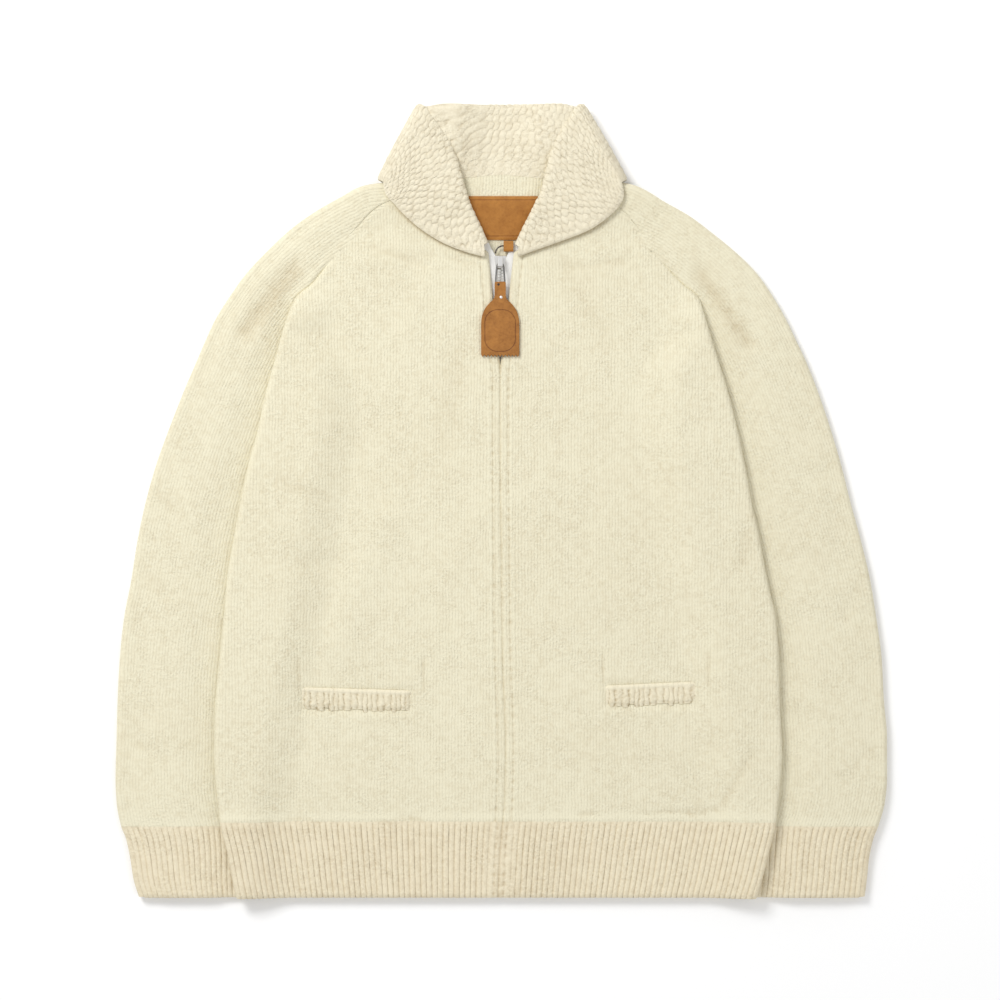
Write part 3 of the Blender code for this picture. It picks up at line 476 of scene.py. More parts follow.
@dataclass(frozen=True)
class WoolFinish:
    """Thick cream wool in one kind of knit.

    The piece's knit map counts stitches along U and rows along V.
    """

    name: str
    knit: Knit
    colour: tuple[float, float, float]
    # Dark tone that the colour moves toward, both for random tone and for painted shade.
    shade: tuple[float, float, float]
    relief: float
    # How far the colour darkens in the gaps between stitches, which is painted shade.
    contrast: float
    sheen: float = 0.25
    slot: str = "cream_wool"

    def stitch(self, graph: Graph, u: object, v: object) -> Socket:
        """Height of the stitches.

        Args:
            graph: Material that is being made.
            u: Stitches across.
            v: Rows along.

        Returns:
            Height from 0 in the gaps to 1 on the yarn.
        """
        if self.knit is Knit.RIDGE:
            return graph.math("POWER", graph.wave(v), 0.35)
        if self.knit is Knit.STOCKINETTE:
            side = graph.math("ABSOLUTE", graph.math("SUBTRACT", graph.math("FRACT", u), 0.5))
            along = graph.math("SUBTRACT", v, graph.times(side, 0.9))
            leg = graph.math("SINE", graph.times(side, 2.0 * math.pi))
        else:
            along, leg = v, graph.wave(u)
        yarn = graph.math("POWER", graph.wave(along), 0.35)
        leg = graph.math("POWER", graph.math("MAXIMUM", leg, 0.0), 0.5)
        rows = 0.3 if self.knit is Knit.STOCKINETTE else 0.12
        return graph.times(graph.add(graph.times(yarn, rows), 1.0 - rows), leg)

    def make(self) -> Material:
        """Wool material.

        Returns:
            The material.
        """
        graph = Graph(self.name)
        knit = graph.node("ShaderNodeUVMap", uv_map="knit").outputs[0]
        parts = graph.node("ShaderNodeSeparateXYZ", {0: knit})
        place = graph.object_place()
        wander = graph.noise(place, 55.0, 2.0)
        u = graph.add(parts.outputs[0], graph.ramp(wander, 0.3, 0.7, -0.12, 0.12))
        v = graph.add(parts.outputs[1], graph.ramp(wander, 0.3, 0.7, 0.12, -0.12))
        stitch = self.stitch(graph, u, v)
        fibre = graph.noise(place, 900.0, 3.0, 0.65)
        lumps = graph.noise(place, 150.0, 2.0, 0.55)
        cloud = graph.noise(place, 11.0, 3.0, 0.55)
        height = graph.add(graph.add(stitch, graph.times(fibre, 0.35)), graph.times(lumps, 0.6))
        patch = graph.ramp(graph.noise(place, 42.0, 2.0), 0.35, 0.65, 0.45, 1.15)
        speck = graph.times(graph.ramp(graph.noise(place, 430.0, 2.0, 0.6), 0.35, 0.65, -0.2, 0.2), patch)
        graph.bump(graph.math("SUBTRACT", height, graph.times(speck, 2.2)), self.relief)
        # Painted shade: the colour darkens in the gaps between the stitches, where the yarn dips.
        gap = graph.times(graph.math("SUBTRACT", 1.0, stitch), self.contrast)
        gap = graph.add(graph.times(gap, patch), speck)
        gap = graph.add(gap, graph.ramp(cloud, 0.35, 0.75, 0.0, 0.14))
        gap = graph.add(gap, graph.ramp(lumps, 0.4, 0.75, 0.0, 0.3))
        # Painted shade and painted highlight that each piece holds in its shade attribute: darker in creases,
        # rib valleys, dents and gaps, lighter on rolls and ridges.
        painted_shade_and_highlight = graph.node("ShaderNodeAttribute", attribute_name="shade").outputs["Fac"]
        gap = graph.math("MINIMUM", graph.add(gap, painted_shade_and_highlight), 1.6)
        tint = graph.mix(gap, self.colour, self.shade)
        graph.surface(Base_Color=tint, Roughness=0.95, Specular_IOR_Level=0.15, Sheen_Weight=self.sheen,
                      Sheen_Roughness=0.45, Sheen_Tint=(1.0, 0.96, 0.86, 1.0))
        return graph.material


@dataclass(frozen=True)
class LeatherFinish:
    """Tan leather with a fine grain and small marks."""

    name: str
    colour: tuple[float, float, float]
    dark: tuple[float, float, float]
    frame_at: tuple[float, float] = (0.0, 0.0)
    frame_half: tuple[float, float] = (40.6, 16.8)
    corner: float = 3.0
    slot: str = "tan_leather"

    def tooled_line(self, graph: Graph, place: object) -> Socket:
        """Line pressed into the leather along its edge.

        Args:
            graph: Material that is being made.
            place: Object coordinates.

        Returns:
            1 on the line, 0 beside it.
        """
        flat = place
        inner = tuple(size - self.corner for size in self.frame_half)
        steps = (("MULTIPLY", (1000.0, 1000.0)), ("SUBTRACT", self.frame_at), ("ABSOLUTE", (0.0, 0.0)),
                 ("SUBTRACT", inner), ("MAXIMUM", (0.0, 0.0)))
        for operation, value in steps:
            inputs = {0: flat, 1: (*value, 0.0)}
            flat = graph.node("ShaderNodeVectorMath", inputs, operation=operation).outputs[0]
        far = graph.node("ShaderNodeVectorMath", {0: flat}, operation="LENGTH").outputs["Value"]
        away = graph.math("ABSOLUTE", graph.math("SUBTRACT", far, self.corner))
        return graph.ramp(away, 0.2, 0.6, 1.0, 0.0)

    def make(self) -> Material:
        """Leather material.

        Returns:
            The material.
        """
        graph = Graph(self.name)
        place = graph.object_place()
        cells = graph.node("ShaderNodeTexVoronoi", {"Vector": place, "Scale": 1500.0},
                           feature="DISTANCE_TO_EDGE").outputs[0]
        grain = graph.ramp(cells, 0.0, 0.25)
        cloud = graph.noise(place, 90.0, 4.0, 0.6)
        marks = graph.noise(place, 420.0, 3.0, 0.6)
        share = graph.add(graph.ramp(cloud, 0.3, 0.75, 0.0, 0.55), graph.ramp(marks, 0.45, 0.8, 0.0, 0.35))
        line = self.tooled_line(graph, place)
        share = graph.add(share, graph.times(line, 0.6))
        graph.surface(Base_Color=graph.mix(share, self.colour, self.dark),
                      Roughness=graph.ramp(cloud, 0.2, 0.8, 0.5, 0.68), Specular_IOR_Level=0.35)
        height = graph.add(grain, graph.times(cloud, 0.8))
        graph.bump(graph.math("SUBTRACT", height, graph.times(line, 2.5)), 0.12, 0.7)
        return graph.material


@dataclass(frozen=True)
class MetalFinish:
    """Plated metal with faint wear."""

    name: str
    colour: tuple[float, float, float]
    rough: float
    slot: str = "nickel"

    def make(self) -> Material:
        """Metal material.

        Returns:
            The material.
        """
        graph = Graph(self.name)
        worn = graph.noise(graph.object_place(), 700.0, 3.0, 0.6)
        dull = tuple(c * 0.55 for c in self.colour)
        tint = graph.mix(graph.ramp(worn, 0.4, 0.8, 0.0, 0.3), self.colour, dull)
        graph.surface(Base_Color=tint, Roughness=graph.ramp(worn, 0.3, 0.8, self.rough, self.rough + 0.18),
                      Metallic=1.0)
        return graph.material


@dataclass(frozen=True)
class TapeFinish:
    """White woven zip tape with a herringbone weave."""

    name: str
    colour: tuple[float, float, float]
    slot: str = "zip_tape"

    def make(self) -> Material:
        """Tape material.

        Returns:
            The material.
        """
        graph = Graph(self.name)
        place = graph.object_place()
        parts = graph.node("ShaderNodeSeparateXYZ", {0: place})
        zig = graph.math("PINGPONG", graph.times(parts.outputs[0], 1000.0), 1.2)
        weave = graph.wave(graph.add(graph.times(parts.outputs[1], 1100.0), zig))
        # Painted shade: the colour darkens where the weave's relief dips, between the threads.
        share = graph.times(graph.math("SUBTRACT", 1.0, weave), 0.5)
        tint = graph.mix(share, self.colour, tuple(c * 0.72 for c in self.colour))
        graph.surface(Base_Color=tint, Roughness=0.85)
        graph.bump(weave, 0.2)
        return graph.material


@dataclass(frozen=True)
class FloorFinish:
    """Plain pale floor, which has no slot."""

    name: str
    colour: tuple[float, float, float]
    slot: str = ""

    def make(self) -> Material:
        """Floor material.

        Returns:
            The material.
        """
        graph = Graph(self.name)
        speck = graph.noise(graph.object_place(), 30.0, 2.0)
        tint = graph.mix(graph.ramp(speck, 0.3, 0.7, 0.0, 0.02), self.colour, (0.9, 0.9, 0.9))
        graph.surface(Base_Color=tint, Roughness=0.9, Specular_IOR_Level=0.1)
        return graph.material


CREAM = WoolFinish("cream_wool", Knit.STOCKINETTE, (0.79, 0.742, 0.562), (0.62, 0.54, 0.37), 0.36, 0.09)
RIBBED = WoolFinish("ribbed_wool", Knit.RIB, (0.795, 0.715, 0.535), (0.56, 0.46, 0.30), 0.35, 0.1,
                    slot="ribbed_wool")
WELT_WOOL = WoolFinish("welt_wool", Knit.RIB, (0.80, 0.735, 0.56), (0.54, 0.45, 0.29), 0.35, 0.1,
                       slot="ribbed_wool")
COLLAR_WOOL = WoolFinish("collar_wool", Knit.RIDGE, (0.81, 0.745, 0.58), (0.57, 0.49, 0.34), 0.45, 0.1)
LEATHER = LeatherFinish("tan_leather", (0.46, 0.195, 0.034), (0.25, 0.085, 0.012), (0.0, 266.25))
TAB_LEATHER = LeatherFinish("tab_leather", (0.43, 0.18, 0.034), (0.17, 0.055, 0.009), (-1.0, 159.8),
                            (14.4, 19.6), 12.0)
TAPE = TapeFinish("zip_tape", (0.97, 0.96, 0.93))
COIL = TapeFinish("zip_teeth_white", (0.94, 0.93, 0.89), "nickel")
NICKEL = MetalFinish("nickel", (0.86, 0.85, 0.83), 0.26)
WIRE = MetalFinish("nickel_wire", (0.2, 0.195, 0.19), 0.3)
DARK_WIRE = MetalFinish("dark_wire", (0.07, 0.06, 0.055), 0.35, "dark_metal")
FLOOR = FloorFinish("pale_floor", (0.96, 0.96, 0.96))


class Wardrobe:
    """Materials that are already made, by the name of their finish."""

    def __init__(self) -> None:
        """Starts with none."""
        self.made: dict[str, Material] = {}

    def take(self, finish: Finish) -> Material:
        """Material of a finish, made once."""
        if finish.name not in self.made:
            self.made[finish.name] = finish.make()
        return self.made[finish.name]


WARDROBE = Wardrobe()


def declare(thing: Piece, body: str, node: str = "") -> None:
    """Hangs a piece on its body and hides the CAD node that it stands for.

    Args:
        thing: The piece.
        body: The body that it rides on.
        node: The CAD node that it stands for, if any.
    """
    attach(thing, body)
    if node:
        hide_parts(node)
    LOG.info("%s is made", thing.name)


def link(name: str, bm: bmesh.types.BMesh, finish: Finish) -> Piece:
    """Object of a shape in the scene, in its material.

    Args:
        name: Name of the piece.
        bm: Its shape, which is freed.
        finish: Its finish.

    Returns:
        The object.
    """
    mesh = bpy.data.meshes.new(name)
    bm.to_mesh(mesh)
    bm.free()
    thing = bpy.data.objects.new(name, mesh)
    bpy.context.scene.collection.objects.link(thing)
    mesh.materials.append(WARDROBE.take(finish))
    mesh.polygons.foreach_set("use_smooth", np.ones(len(mesh.polygons), bool))
    return thing


@dataclass
class Cloth:
    """Thin sheet of cloth on a grid of points, in place of a CAD node."""

    name: str
    node: str
    points: np.ndarray
    knit: np.ndarray
    finish: Finish
    thick: float
    flip: bool = False
    # Painted shade at each point, or a painted highlight where it is below 0.
    shade: Numbers = 0.0

    def build(self) -> Piece:
        """Makes the sheet.

        Returns:
            The object, with its thickness as a modifier.
        """
        rows, columns = self.points.shape[:2]
        bm = bmesh.new()
        bmesh.ops.create_grid(bm, x_segments=columns - 1, y_segments=rows - 1, size=1.0)
        if self.flip:
            bmesh.ops.reverse_faces(bm, faces=bm.faces)
        for border in (edge for edge in bm.edges if edge.is_boundary):
            border.smooth = False
        thing = link(self.name, bm, self.finish)
        mesh = thing.data
        mesh.vertices.foreach_set("co", (self.points * MM).ravel())
        corners = np.empty(len(mesh.loops), int)
        mesh.loops.foreach_get("vertex_index", corners)
        layer = mesh.uv_layers.new(name="knit")
        layer.data.foreach_set("uv", self.knit.reshape(-1, 2)[corners].ravel())
        # Painted shade and highlight, kept as the shade attribute that the wool material adds to its colour.
        dark = np.broadcast_to(np.asarray(self.shade, float), (rows, columns)).ravel()
        mesh.attributes.new("shade", "FLOAT", "POINT").data.foreach_set("value", dark)
        wall = thing.modifiers.new("thickness", "SOLIDIFY")
        wall.thickness = self.thick * MM
        wall.offset = 0.0
        declare(thing, "sweater", self.node)
        return thing


def unit(v: np.ndarray) -> np.ndarray:
    """Vectors of length one."""
    return v / np.maximum(np.linalg.norm(v, axis=-1, keepdims=True), 1e-12)


def normals(grid: np.ndarray) -> np.ndarray:
    """Directions square to a grid, toward the side from which its columns run left to right."""
    return unit(np.cross(np.gradient(grid, axis=1), np.gradient(grid, axis=0)))


def lengths(grid: np.ndarray, axis: int) -> np.ndarray:
    """Distance along a grid from its first row or column."""
    steps = np.linalg.norm(np.diff(grid, axis=axis), axis=-1)
    start = np.zeros_like(np.take(steps, [0], axis=axis))
    return np.concatenate((start, np.cumsum(steps, axis=axis)), axis=axis)


def spread(line: np.ndarray, count: int) -> np.ndarray:
    """Points at even distances along a line of points, on a smooth curve through them.

    Args:
        line: Points of the line.
        count: How many points to make.

    Returns:
        The new points.
    """
    far = np.concatenate(([0.0], np.cumsum(np.linalg.norm(np.diff(line, axis=0), axis=1))))
    at = np.linspace(0.0, far[-1], count)
    slope = np.gradient(line, far, axis=0)
    i = np.clip(np.searchsorted(far, at, side="right") - 1, 0, len(far) - 2)
    h = (far[i + 1] - far[i])[:, None]
    t = (at - far[i])[:, None] / h
    return curved(t, h, (line[i], line[i + 1]), (slope[i], slope[i + 1]))


def edge_dense(count: int, band: float = 0.066, fine: int = 17) -> np.ndarray:
    """Shares from 0 to 1 with closer places near 1, where an edge is rounded and sewn."""
    return np.concatenate((np.linspace(0.0, 1.0 - band, count)[:-1], np.linspace(1.0 - band, 1.0, fine)))


def rounding(away: np.ndarray, radius: float = 1.7) -> np.ndarray:
    """How far cloth drops toward its edge, in millimetres, for a distance from the edge."""
    t = np.clip(away / radius, 0.0, 1.0)
    return radius * 0.85 * (1.0 - np.sqrt(np.clip(1.0 - (1.0 - t) ** 2, 0.0, 1.0)))


def within(x: np.ndarray, y: np.ndarray, across: tuple[float, float], up: tuple[float, float]) -> np.ndarray:
    """How far places lie inside a rectangle, minus where they are outside."""
    return np.minimum(np.minimum(x - across[0], across[1] - x), np.minimum(up[1] - y, y - up[0]))


def collar_shadow(side: Side, x: np.ndarray, y: np.ndarray) -> np.ndarray:
    """Dark line on a front along the collar's free edge.

    Args:
        side: Half of the garment.
        x: Places across, in millimetres.
        y: Places along, in millimetres.

    Returns:
        1 on the line, 0 away from it.
    """
    rows = np.linspace(0.0, 6.0, 80)
    across, along = np.abs(COLLAR[side].at("edge_x", rows)), COLLAR[side].at("edge_y", rows)
    steep = np.interp(np.abs(x), across, np.gradient(along, across))
    below = (np.interp(np.abs(x), across, along) - y) / np.hypot(1.0, steep)
    ends = smooth_step(15, 24, np.abs(x)) * (1.0 - smooth_step(92, 106, np.abs(x)))
    return bell(below - 1.0, 2.2) * ends


@dataclass
class Front:
    """One front: stockinette from the side fold or raglan seam to the zip, with its ribbed hem."""

    side: Side
    ribs: int = 24
    rib_high: float = 1.5
    pitch: float = 2.2
    dots: float = 8.8
    dot_line: float = 7.2
    hem_dot_line: float = 4.3
    hem_columns: int = 300
    cut: tuple[float, float] = (0.262, 0.66)
    cut_share: float = 0.86
    hem_cut: tuple[float, float] = (0.25, 0.073)

    def grid(self, ys: np.ndarray, shares: np.ndarray, fold_columns: int = 7) -> np.ndarray:
        """Middle points of the front.

        Args:
            ys: Height of each row.
            shares: Places from the end of the turned edge to the zip edge.
            fold_columns: Columns of the turned edge.

        Returns:
            Points by row and column, from the side to the zip.
        """
        s = self.side.sign
        y = ys[:, None]
        slant = FORM.slant(self.side, y)
        edge = FORM.body_edge(self.side, y) - FORM.apart(self.side, y)
        high = FORM.upper(edge, y)
        turned = np.linspace(0.0, 1.0, fold_columns)[None, :]
        x, z = FORM.turned_edge(edge, -s * slant, y, turned, high, FORM.lower(edge, y), high, 1.0)
        end = FORM.front_edge(self.side, y)
        squeeze = np.minimum(1.0, np.abs(end - edge) / (FORM.fold_step * 1.33 * slant + 3.0))
        x = blend(edge, x, squeeze)
        flat_x = blend(x[:, -1:], end, shares[None, 1:])
        creased = lines_height(CREASES, flat_x, y) * smooth_step(0, 24, np.abs(flat_x - edge))
        flat_z = FORM.upper(flat_x, y) + creased
        xs = np.concatenate((x, flat_x), axis=1)
        zs = np.concatenate((z, flat_z), axis=1)
        return joined(xs, y, zs)

    def knit_map(self, grid: np.ndarray) -> np.ndarray:
        """Stitches and rows at each point, with upright columns of stitches."""
        far = lengths(grid, 1)
        across = (far[:, -1:] - far) / FORM.wale
        return joined(across + self.side.sign * grid[:, -1:, 0] / FORM.wale, grid[..., 1] / FORM.course)

    def sewn_band(self, grid: np.ndarray, line: float) -> tuple[np.ndarray, np.ndarray]:
        """Picked-up stitches beside the zip.

        Args:
            grid: Points of the front or its hem, with the zip edge last.
            line: Distance of the row of dots from the zip edge.

        Returns:
            Relief in millimetres, and painted shade and highlight at each point.
        """
        away = np.abs(grid[..., 0] - grid[:, -1:, 0])
        y = grid[..., 1]
        beat = (0.5 + 0.5 * np.cos(2 * np.pi * y / self.dots)) ** 1.2
        beat = beat * (0.45 + 0.55 * uneven(np.floor(y / self.dots + 0.5), np.full_like(y, self.side.sign)))
        # Painted shade: a row of dark dots for the shaded holes of the picked-up stitches, and a dark line
        # along the zip edge where the fronts meet; the bumps get a painted highlight.
        dots = bell(away - line, 1.6) * (0.1 + 0.9 * beat)
        bumps = bell(away - line - 2.6, 1.2) * (1.0 - beat)
        near = (1.0 - smooth_step(0.2, 1.8, away)) * (0.6 + 0.4 * beat)
        below = smooth_step(238, 226, y)
        closed = smooth_step(160, 120, y)
        return (0.45 * bumps - 0.8 * dots) * below, (0.85 * dots - 0.25 * bumps + 0.8 * near * closed) * below

    def build(self) -> None:
        """Makes the front and its hem."""
        name, s = self.side.value, self.side.sign
        ys = np.linspace(FORM.neck_top, FORM.hem_top, int((FORM.neck_top - FORM.hem_top) / self.pitch))
        grid = self.grid(ys, edge_dense(112))
        relief, shade = self.sewn_band(grid, self.dot_line)
        sink, painted_pocket_shade = POCKET_PLACES[self.side].sunk(grid[..., 0], grid[..., 1])
        ridge = 0.6 * bell(grid[..., 1] - FORM.hem_top - 2.6, 1.6)
        grid[..., 2] += relief - rounding(np.abs(grid[:, -1:, 0] - grid[..., 0])) - sink + ridge
        # Painted shade in the creases' troughs and in the pocket's dents, a painted highlight in a band above
        # the hem, and a painted shadow under the collar's edge.
        trough = np.clip(-lines_height(CREASES, grid[..., 0], grid[..., 1]) / 1.7, 0.0, 1.0)
        band = 0.3 * bell(grid[..., 1] - FORM.hem_top - 4.5, 3.2)
        shade = shade + painted_pocket_shade + 0.5 * trough - band + collar_shadow(self.side, grid[..., 0], grid[..., 1])
        front = Cloth("front_knit_" + name, "front_" + name, grid, self.knit_map(grid), CREAM, FORM.cloth,
                      s < 0, shade).build()
        ys = np.linspace(FORM.hem_top, FORM.hem_end, 42)
        grid = self.grid(ys, edge_dense(self.hem_columns), 12)
        relief, shade = self.sewn_band(grid, self.hem_dot_line)
        far = lengths(grid, 1)
        turn = far / far[:, -1:] * self.ribs
        ribs, valley = rib_relief(turn, grid[..., 1] / FORM.course)
        top = smooth_step(FORM.hem_top, FORM.hem_top - 5.0, grid[..., 1])
        away = np.abs(grid[:, -1:, 0] - grid[..., 0])
        plain = smooth_step(9.0, 14.0, away)
        lift = self.rib_high * (ribs - 0.5) * top * plain * smooth_step(0, 6, far)
        grid[..., 2] += lift + relief - rounding(away) - 0.7 * rounding(grid[..., 1] - FORM.hem_end, 2.4)
        knit = joined(turn * 2.0, grid[..., 1] / FORM.course)
        # Painted shade in the rib valleys, added to the painted shade and highlight of the band beside the
        # zip.
        hem = Cloth("hem_knit_" + name, "hem_front_" + name, grid, knit, RIBBED, FORM.cloth, s < 0,
                    shade + valley * top * plain).build()


def rib_relief(turn: np.ndarray, rows: np.ndarray) -> tuple[np.ndarray, np.ndarray]:
    """Height and painted shade of one-by-one ribs, each with a shallow dip along its middle.

    Args:
        turn: Ribs counted across.
        rows: Knitted rows counted along.

    Returns:
        Height from 0 in the valleys to 1 on the ribs, and the painted shade in the valleys and at the knots.
    """
    half = 0.5 - 0.5 * np.cos(4.0 * np.pi * turn)
    deep = 0.5 + 0.5 * np.cos(2.0 * np.pi * turn)
    step = rows + 0.5 * np.floor(2.0 * turn + 0.5)
    own = uneven(np.floor(2.0 * turn + 0.5), np.floor(step))
    knots = np.sin(np.pi * np.mod(step, 1.0)) ** 2
    # Painted shade: darker in the valleys between ribs and at the knots.
    valley = (1.0 - half) ** 2.5 * (0.15 + 0.2 * deep + 0.75 * knots * own)
    return 0.72 * half ** 0.8 + 0.2 * (1.0 - deep) - 0.25 * knots * own * (1.0 - half), valley


def uneven(*cells: np.ndarray) -> np.ndarray:
    """A share from 0 to 1 of its own for each knitted cell."""
    mixed = sum(cell * weight for cell, weight in zip(cells, (12.9898, 78.233)))
    return np.modf(np.abs(np.sin(mixed + 0.5)) * 4375.85453)[0]


@dataclass
class Back:
    """Back panel and its hem, flat where they rest."""

    cut: tuple[float, float] = (0.54, 0.68)
    cut_share: float = 0.87
    hem_cut: tuple[float, float] = (0.51, 0.073)

    def grid(self, ys: np.ndarray, columns: int) -> np.ndarray:
        """Middle points of the back.

        Args:
            ys: Height of each row.
            columns: Flat columns from side to side.

        Returns:
            Points by row and column, from left to right.
        """
        y = ys[:, None]
        turned = np.linspace(0.0, 1.0, 7)[None, :]
        ends = {}
        for side in Side:
            slant = FORM.slant(side, y)
            edge = FORM.back_seam(side, y) - FORM.apart(side, y)
            flat = FORM.lower(edge, y)
            high = np.where(y < FORM.fold_low, FORM.upper(edge, y), flat + FORM.edge_air(y))
            ends[side] = FORM.turned_edge(edge, -side.sign * slant, y, turned, flat, flat, high, -1.0)
        left, right = ends[Side.LEFT], ends[Side.RIGHT]
        shares = np.linspace(0.0, 1.0, columns)[None, 1:-1]
        flat_x = blend(left[0][:, -1:], right[0][:, -1:], shares)
        xs = np.concatenate((left[0], flat_x, right[0][:, ::-1]), axis=1)
        zs = np.concatenate((left[1], FORM.lower(flat_x, y), right[1][:, ::-1]), axis=1)
        wide = np.abs(xs[:, :1])
        rise = FORM.back_rise * smooth_step(240, FORM.back_top, y) * np.maximum(0.0, 1.0 - (xs / wide) ** 2)
        high = y + rise
        zs = zs + FORM.lower(xs, high) - FORM.lower(xs, np.broadcast_to(y, xs.shape))
        zs = np.maximum(zs, FORM.cloth / 2)
        return joined(xs, high, zs)

    def build(self) -> None:
        """Makes the back and its hem."""
        tops = FORM.back_height(np.linspace(FORM.neck_top, FORM.underarm, 40))
        ys = np.concatenate((tops, np.linspace(FORM.underarm, FORM.hem_top, 70)[1:]))
        hem_ys = np.linspace(FORM.hem_top - 0.2, FORM.hem_end, 20)
        for name, node, rows, finish in (("back_knit", "back_panel", ys, CREAM),
                                         ("hem_back_knit", "hem_back", hem_ys, RIBBED)):
            grid = self.grid(rows, 96)
            far = lengths(grid, 1)
            middle = far[:, far.shape[1] // 2, None]
            knit = joined((far - middle) / FORM.wale, grid[..., 1] / FORM.course)
            Cloth(name, node, grid, knit, finish, FORM.cloth, True).build()


@dataclass
class Sleeve:
    """One sleeve, folded flat and tucked behind the body, with its ribbed cuff."""

    side: Side
    cuff_top: float = -306.9
    ribs: int = 10
    rib_high: float = 1.4
    cut: tuple[float, float] = (0.38, 0.62)
    cut_share: float = 0.68
    cuff_cut: tuple[float, float] = (0.24, 0.068)

    def air(self, y: float, t: np.ndarray) -> np.ndarray:
        """Distance between the two layers, t from the inner to the outer fold."""
        inner = blend(FORM.sleeve_under, FORM.edge_air(y), smooth_step(180, 215, y))
        tip_x = SLEEVE.at(self.side.value + "_x", y)
        tip_y = SLEEVE.at(self.side.value + "_y", y)
        wide = np.hypot(tip_x - FORM.sleeve_inner(self.side, y), tip_y - y)
        hidden = UNDER.at("reach", y) / wide
        neck = smooth_step(232, 268, y)
        middle = blend(FORM.sleeve_gap, FORM.neck_air, neck)
        outer = blend(FORM.sleeve_fold, FORM.neck_air, neck)
        t = np.asarray(t, float)
        rise = np.clip((t - hidden - 0.02) / 0.28, 0.0, 1.0)
        value = blend(inner, middle, rise * rise * (3.0 - 2.0 * rise))
        return blend(value, outer, smooth_step(0.72, 1.0, t))

    def line(self, y: float, upper: int, lower: int) -> np.ndarray:
        """Middle line of the sleeve at one station, from the front seam round to the back seam.

        Args:
            y: Height of the station's inner end.
            upper: Points on the upper layer.
            lower: Points on the lower layer.

        Returns:
            Points in millimetres.
        """
        side = self.side
        apart = FORM.apart(side, y)
        inner = np.array((FORM.sleeve_inner(side, y) + apart, y))
        tip = np.array((SLEEVE.at(side.value + "_x", y), SLEEVE.at(side.value + "_y", y)))
        back_y = float(FORM.back_height(y))
        back = np.array((FORM.back_seam(side, back_y) + apart, back_y)) if y > FORM.underarm else inner
        fold = float(self.air(y, np.array(1.0)))
        way = (tip - inner) / np.linalg.norm(tip - inner)
        outer = tip - way * (FORM.cloth / 2 + fold / 2)

        def end(seam: np.ndarray, up: float) -> np.ndarray:
            """Points of one turned edge.

            Args:
                seam: Place of the edge.
                up: 1 for the upper layer, -1 for the lower one.

            Returns:
                Points in millimetres, from the edge inward.
            """
            length = float(np.linalg.norm(outer - seam))
            direction = (outer - seam) / length
            squeeze = min(1.0, length / (FORM.fold_step * 1.33 + 3.0))
            base = FORM.cloth / 2 + FORM.neck_lift(seam[0], seam[1])
            high = base + float(self.air(y, np.array(0.0)))
            turned = np.linspace(0.0, 1.0, 7)
            far, z = FORM.turned_edge(np.zeros(7), np.ones(7), np.full(7, y), turned,
                                      np.full(7, high if up > 0 else base), base, high, up)
            return np.column_stack((seam + direction * (far * squeeze)[:, None], z))

        first, last = end(inner, 1.0), end(back, -1.0)
        t = np.linspace(0.0, 1.0, upper)[1:-1]
        over = blend(first[-1, :2], outer, t[:, None])
        low = FORM.cloth / 2 + FORM.neck_lift(over[:, 0], over[:, 1])
        crease = lines_height(SLEEVE_CREASES, over[:, 0], over[:, 1]) * smooth_step(1.0, 0.86, t)
        over_z = low + self.air(y, t) + crease * (1.0 if y < FORM.fold_high else 0.0)
        angles = np.radians(np.linspace(90, -90, 13))
        centre = FORM.cloth / 2 + float(FORM.neck_lift(outer[0], outer[1])) + fold / 2
        round_xy = outer + way * (np.cos(angles) * fold / 2)[:, None]
        around = np.column_stack((round_xy, centre + np.sin(angles) * fold / 2))
        back_t = np.linspace(1.0, 0.0, lower)[1:-1]
        under = blend(last[-1, :2], outer, back_t[:, None])
        under_z = FORM.cloth / 2 + FORM.neck_lift(under[:, 0], under[:, 1])
        over, under = np.column_stack((over, over_z)), np.column_stack((under, under_z))
        return np.vstack((first, over, around, under, last[::-1]))

    def build(self) -> None:
        """Makes the sleeve and its cuff."""
        name, s = self.side.value, self.side.sign
        upper, fold = 70, 13
        ys = np.concatenate((np.linspace(FORM.neck_top, 130, 84), np.linspace(130, self.cuff_top, 128)[1:]))
        grid = np.array([self.line(float(y), upper, 30) for y in ys])
        grid[..., 2] = np.maximum(grid[..., 2], FORM.cloth / 2)
        middle = 7 + upper - 2 + fold // 2
        far = lengths(grid, 1)
        along = lengths(grid, 0)[:, middle]
        knit = joined((far - far[:, middle:middle + 1]) / FORM.wale, -along[:, None] / FORM.course)
        # Painted shade in the creases' troughs and a painted highlight in a band above the cuff, on the upper
        # layer only.
        trough = np.clip(-lines_height(SLEEVE_CREASES, grid[..., 0], grid[..., 1]) / 1.8, 0.0, 1.0)
        band = 0.3 * bell(grid[..., 1] - self.cuff_top - 4.5, 3.2)
        shown = (np.arange(grid.shape[1]) < middle)[None, :]
        sleeve = Cloth("sleeve_knit_" + name, "sleeve_" + name, grid, knit, CREAM, FORM.cloth, s > 0,
                       (0.5 * trough ** 1.5 - band) * shown).build()
        ys = np.linspace(self.cuff_top, FORM.hem_end, 46)
        upper = 150
        grid = np.array([self.line(float(y), upper, 24) for y in ys])
        far = lengths(grid, 1)
        shown = upper + 5
        turn = np.clip(far / far[:, shown:shown + 1], 0.0, 1.0) * self.ribs
        ribs, valley = rib_relief(turn, grid[..., 1] / FORM.course)
        columns = np.arange(grid.shape[1])[None, :]
        over = smooth_step(6, 10, columns) * (1.0 - smooth_step(shown - 4, shown + 3, columns))
        top = smooth_step(self.cuff_top, self.cuff_top - 5.0, grid[..., 1])
        grid[..., 2] += self.rib_high * (ribs - 0.5) * over * top
        grid[..., 2] -= 0.7 * rounding(grid[..., 1] - FORM.hem_end, 2.4) * over
        knit = joined(turn * 2.0, grid[..., 1] / FORM.course)
        # Painted shade in the rib valleys.
        cuff = Cloth("cuff_knit_" + name, "cuff_" + name, grid, knit, RIBBED, FORM.cloth, s > 0,
                     valley * over * top).build()


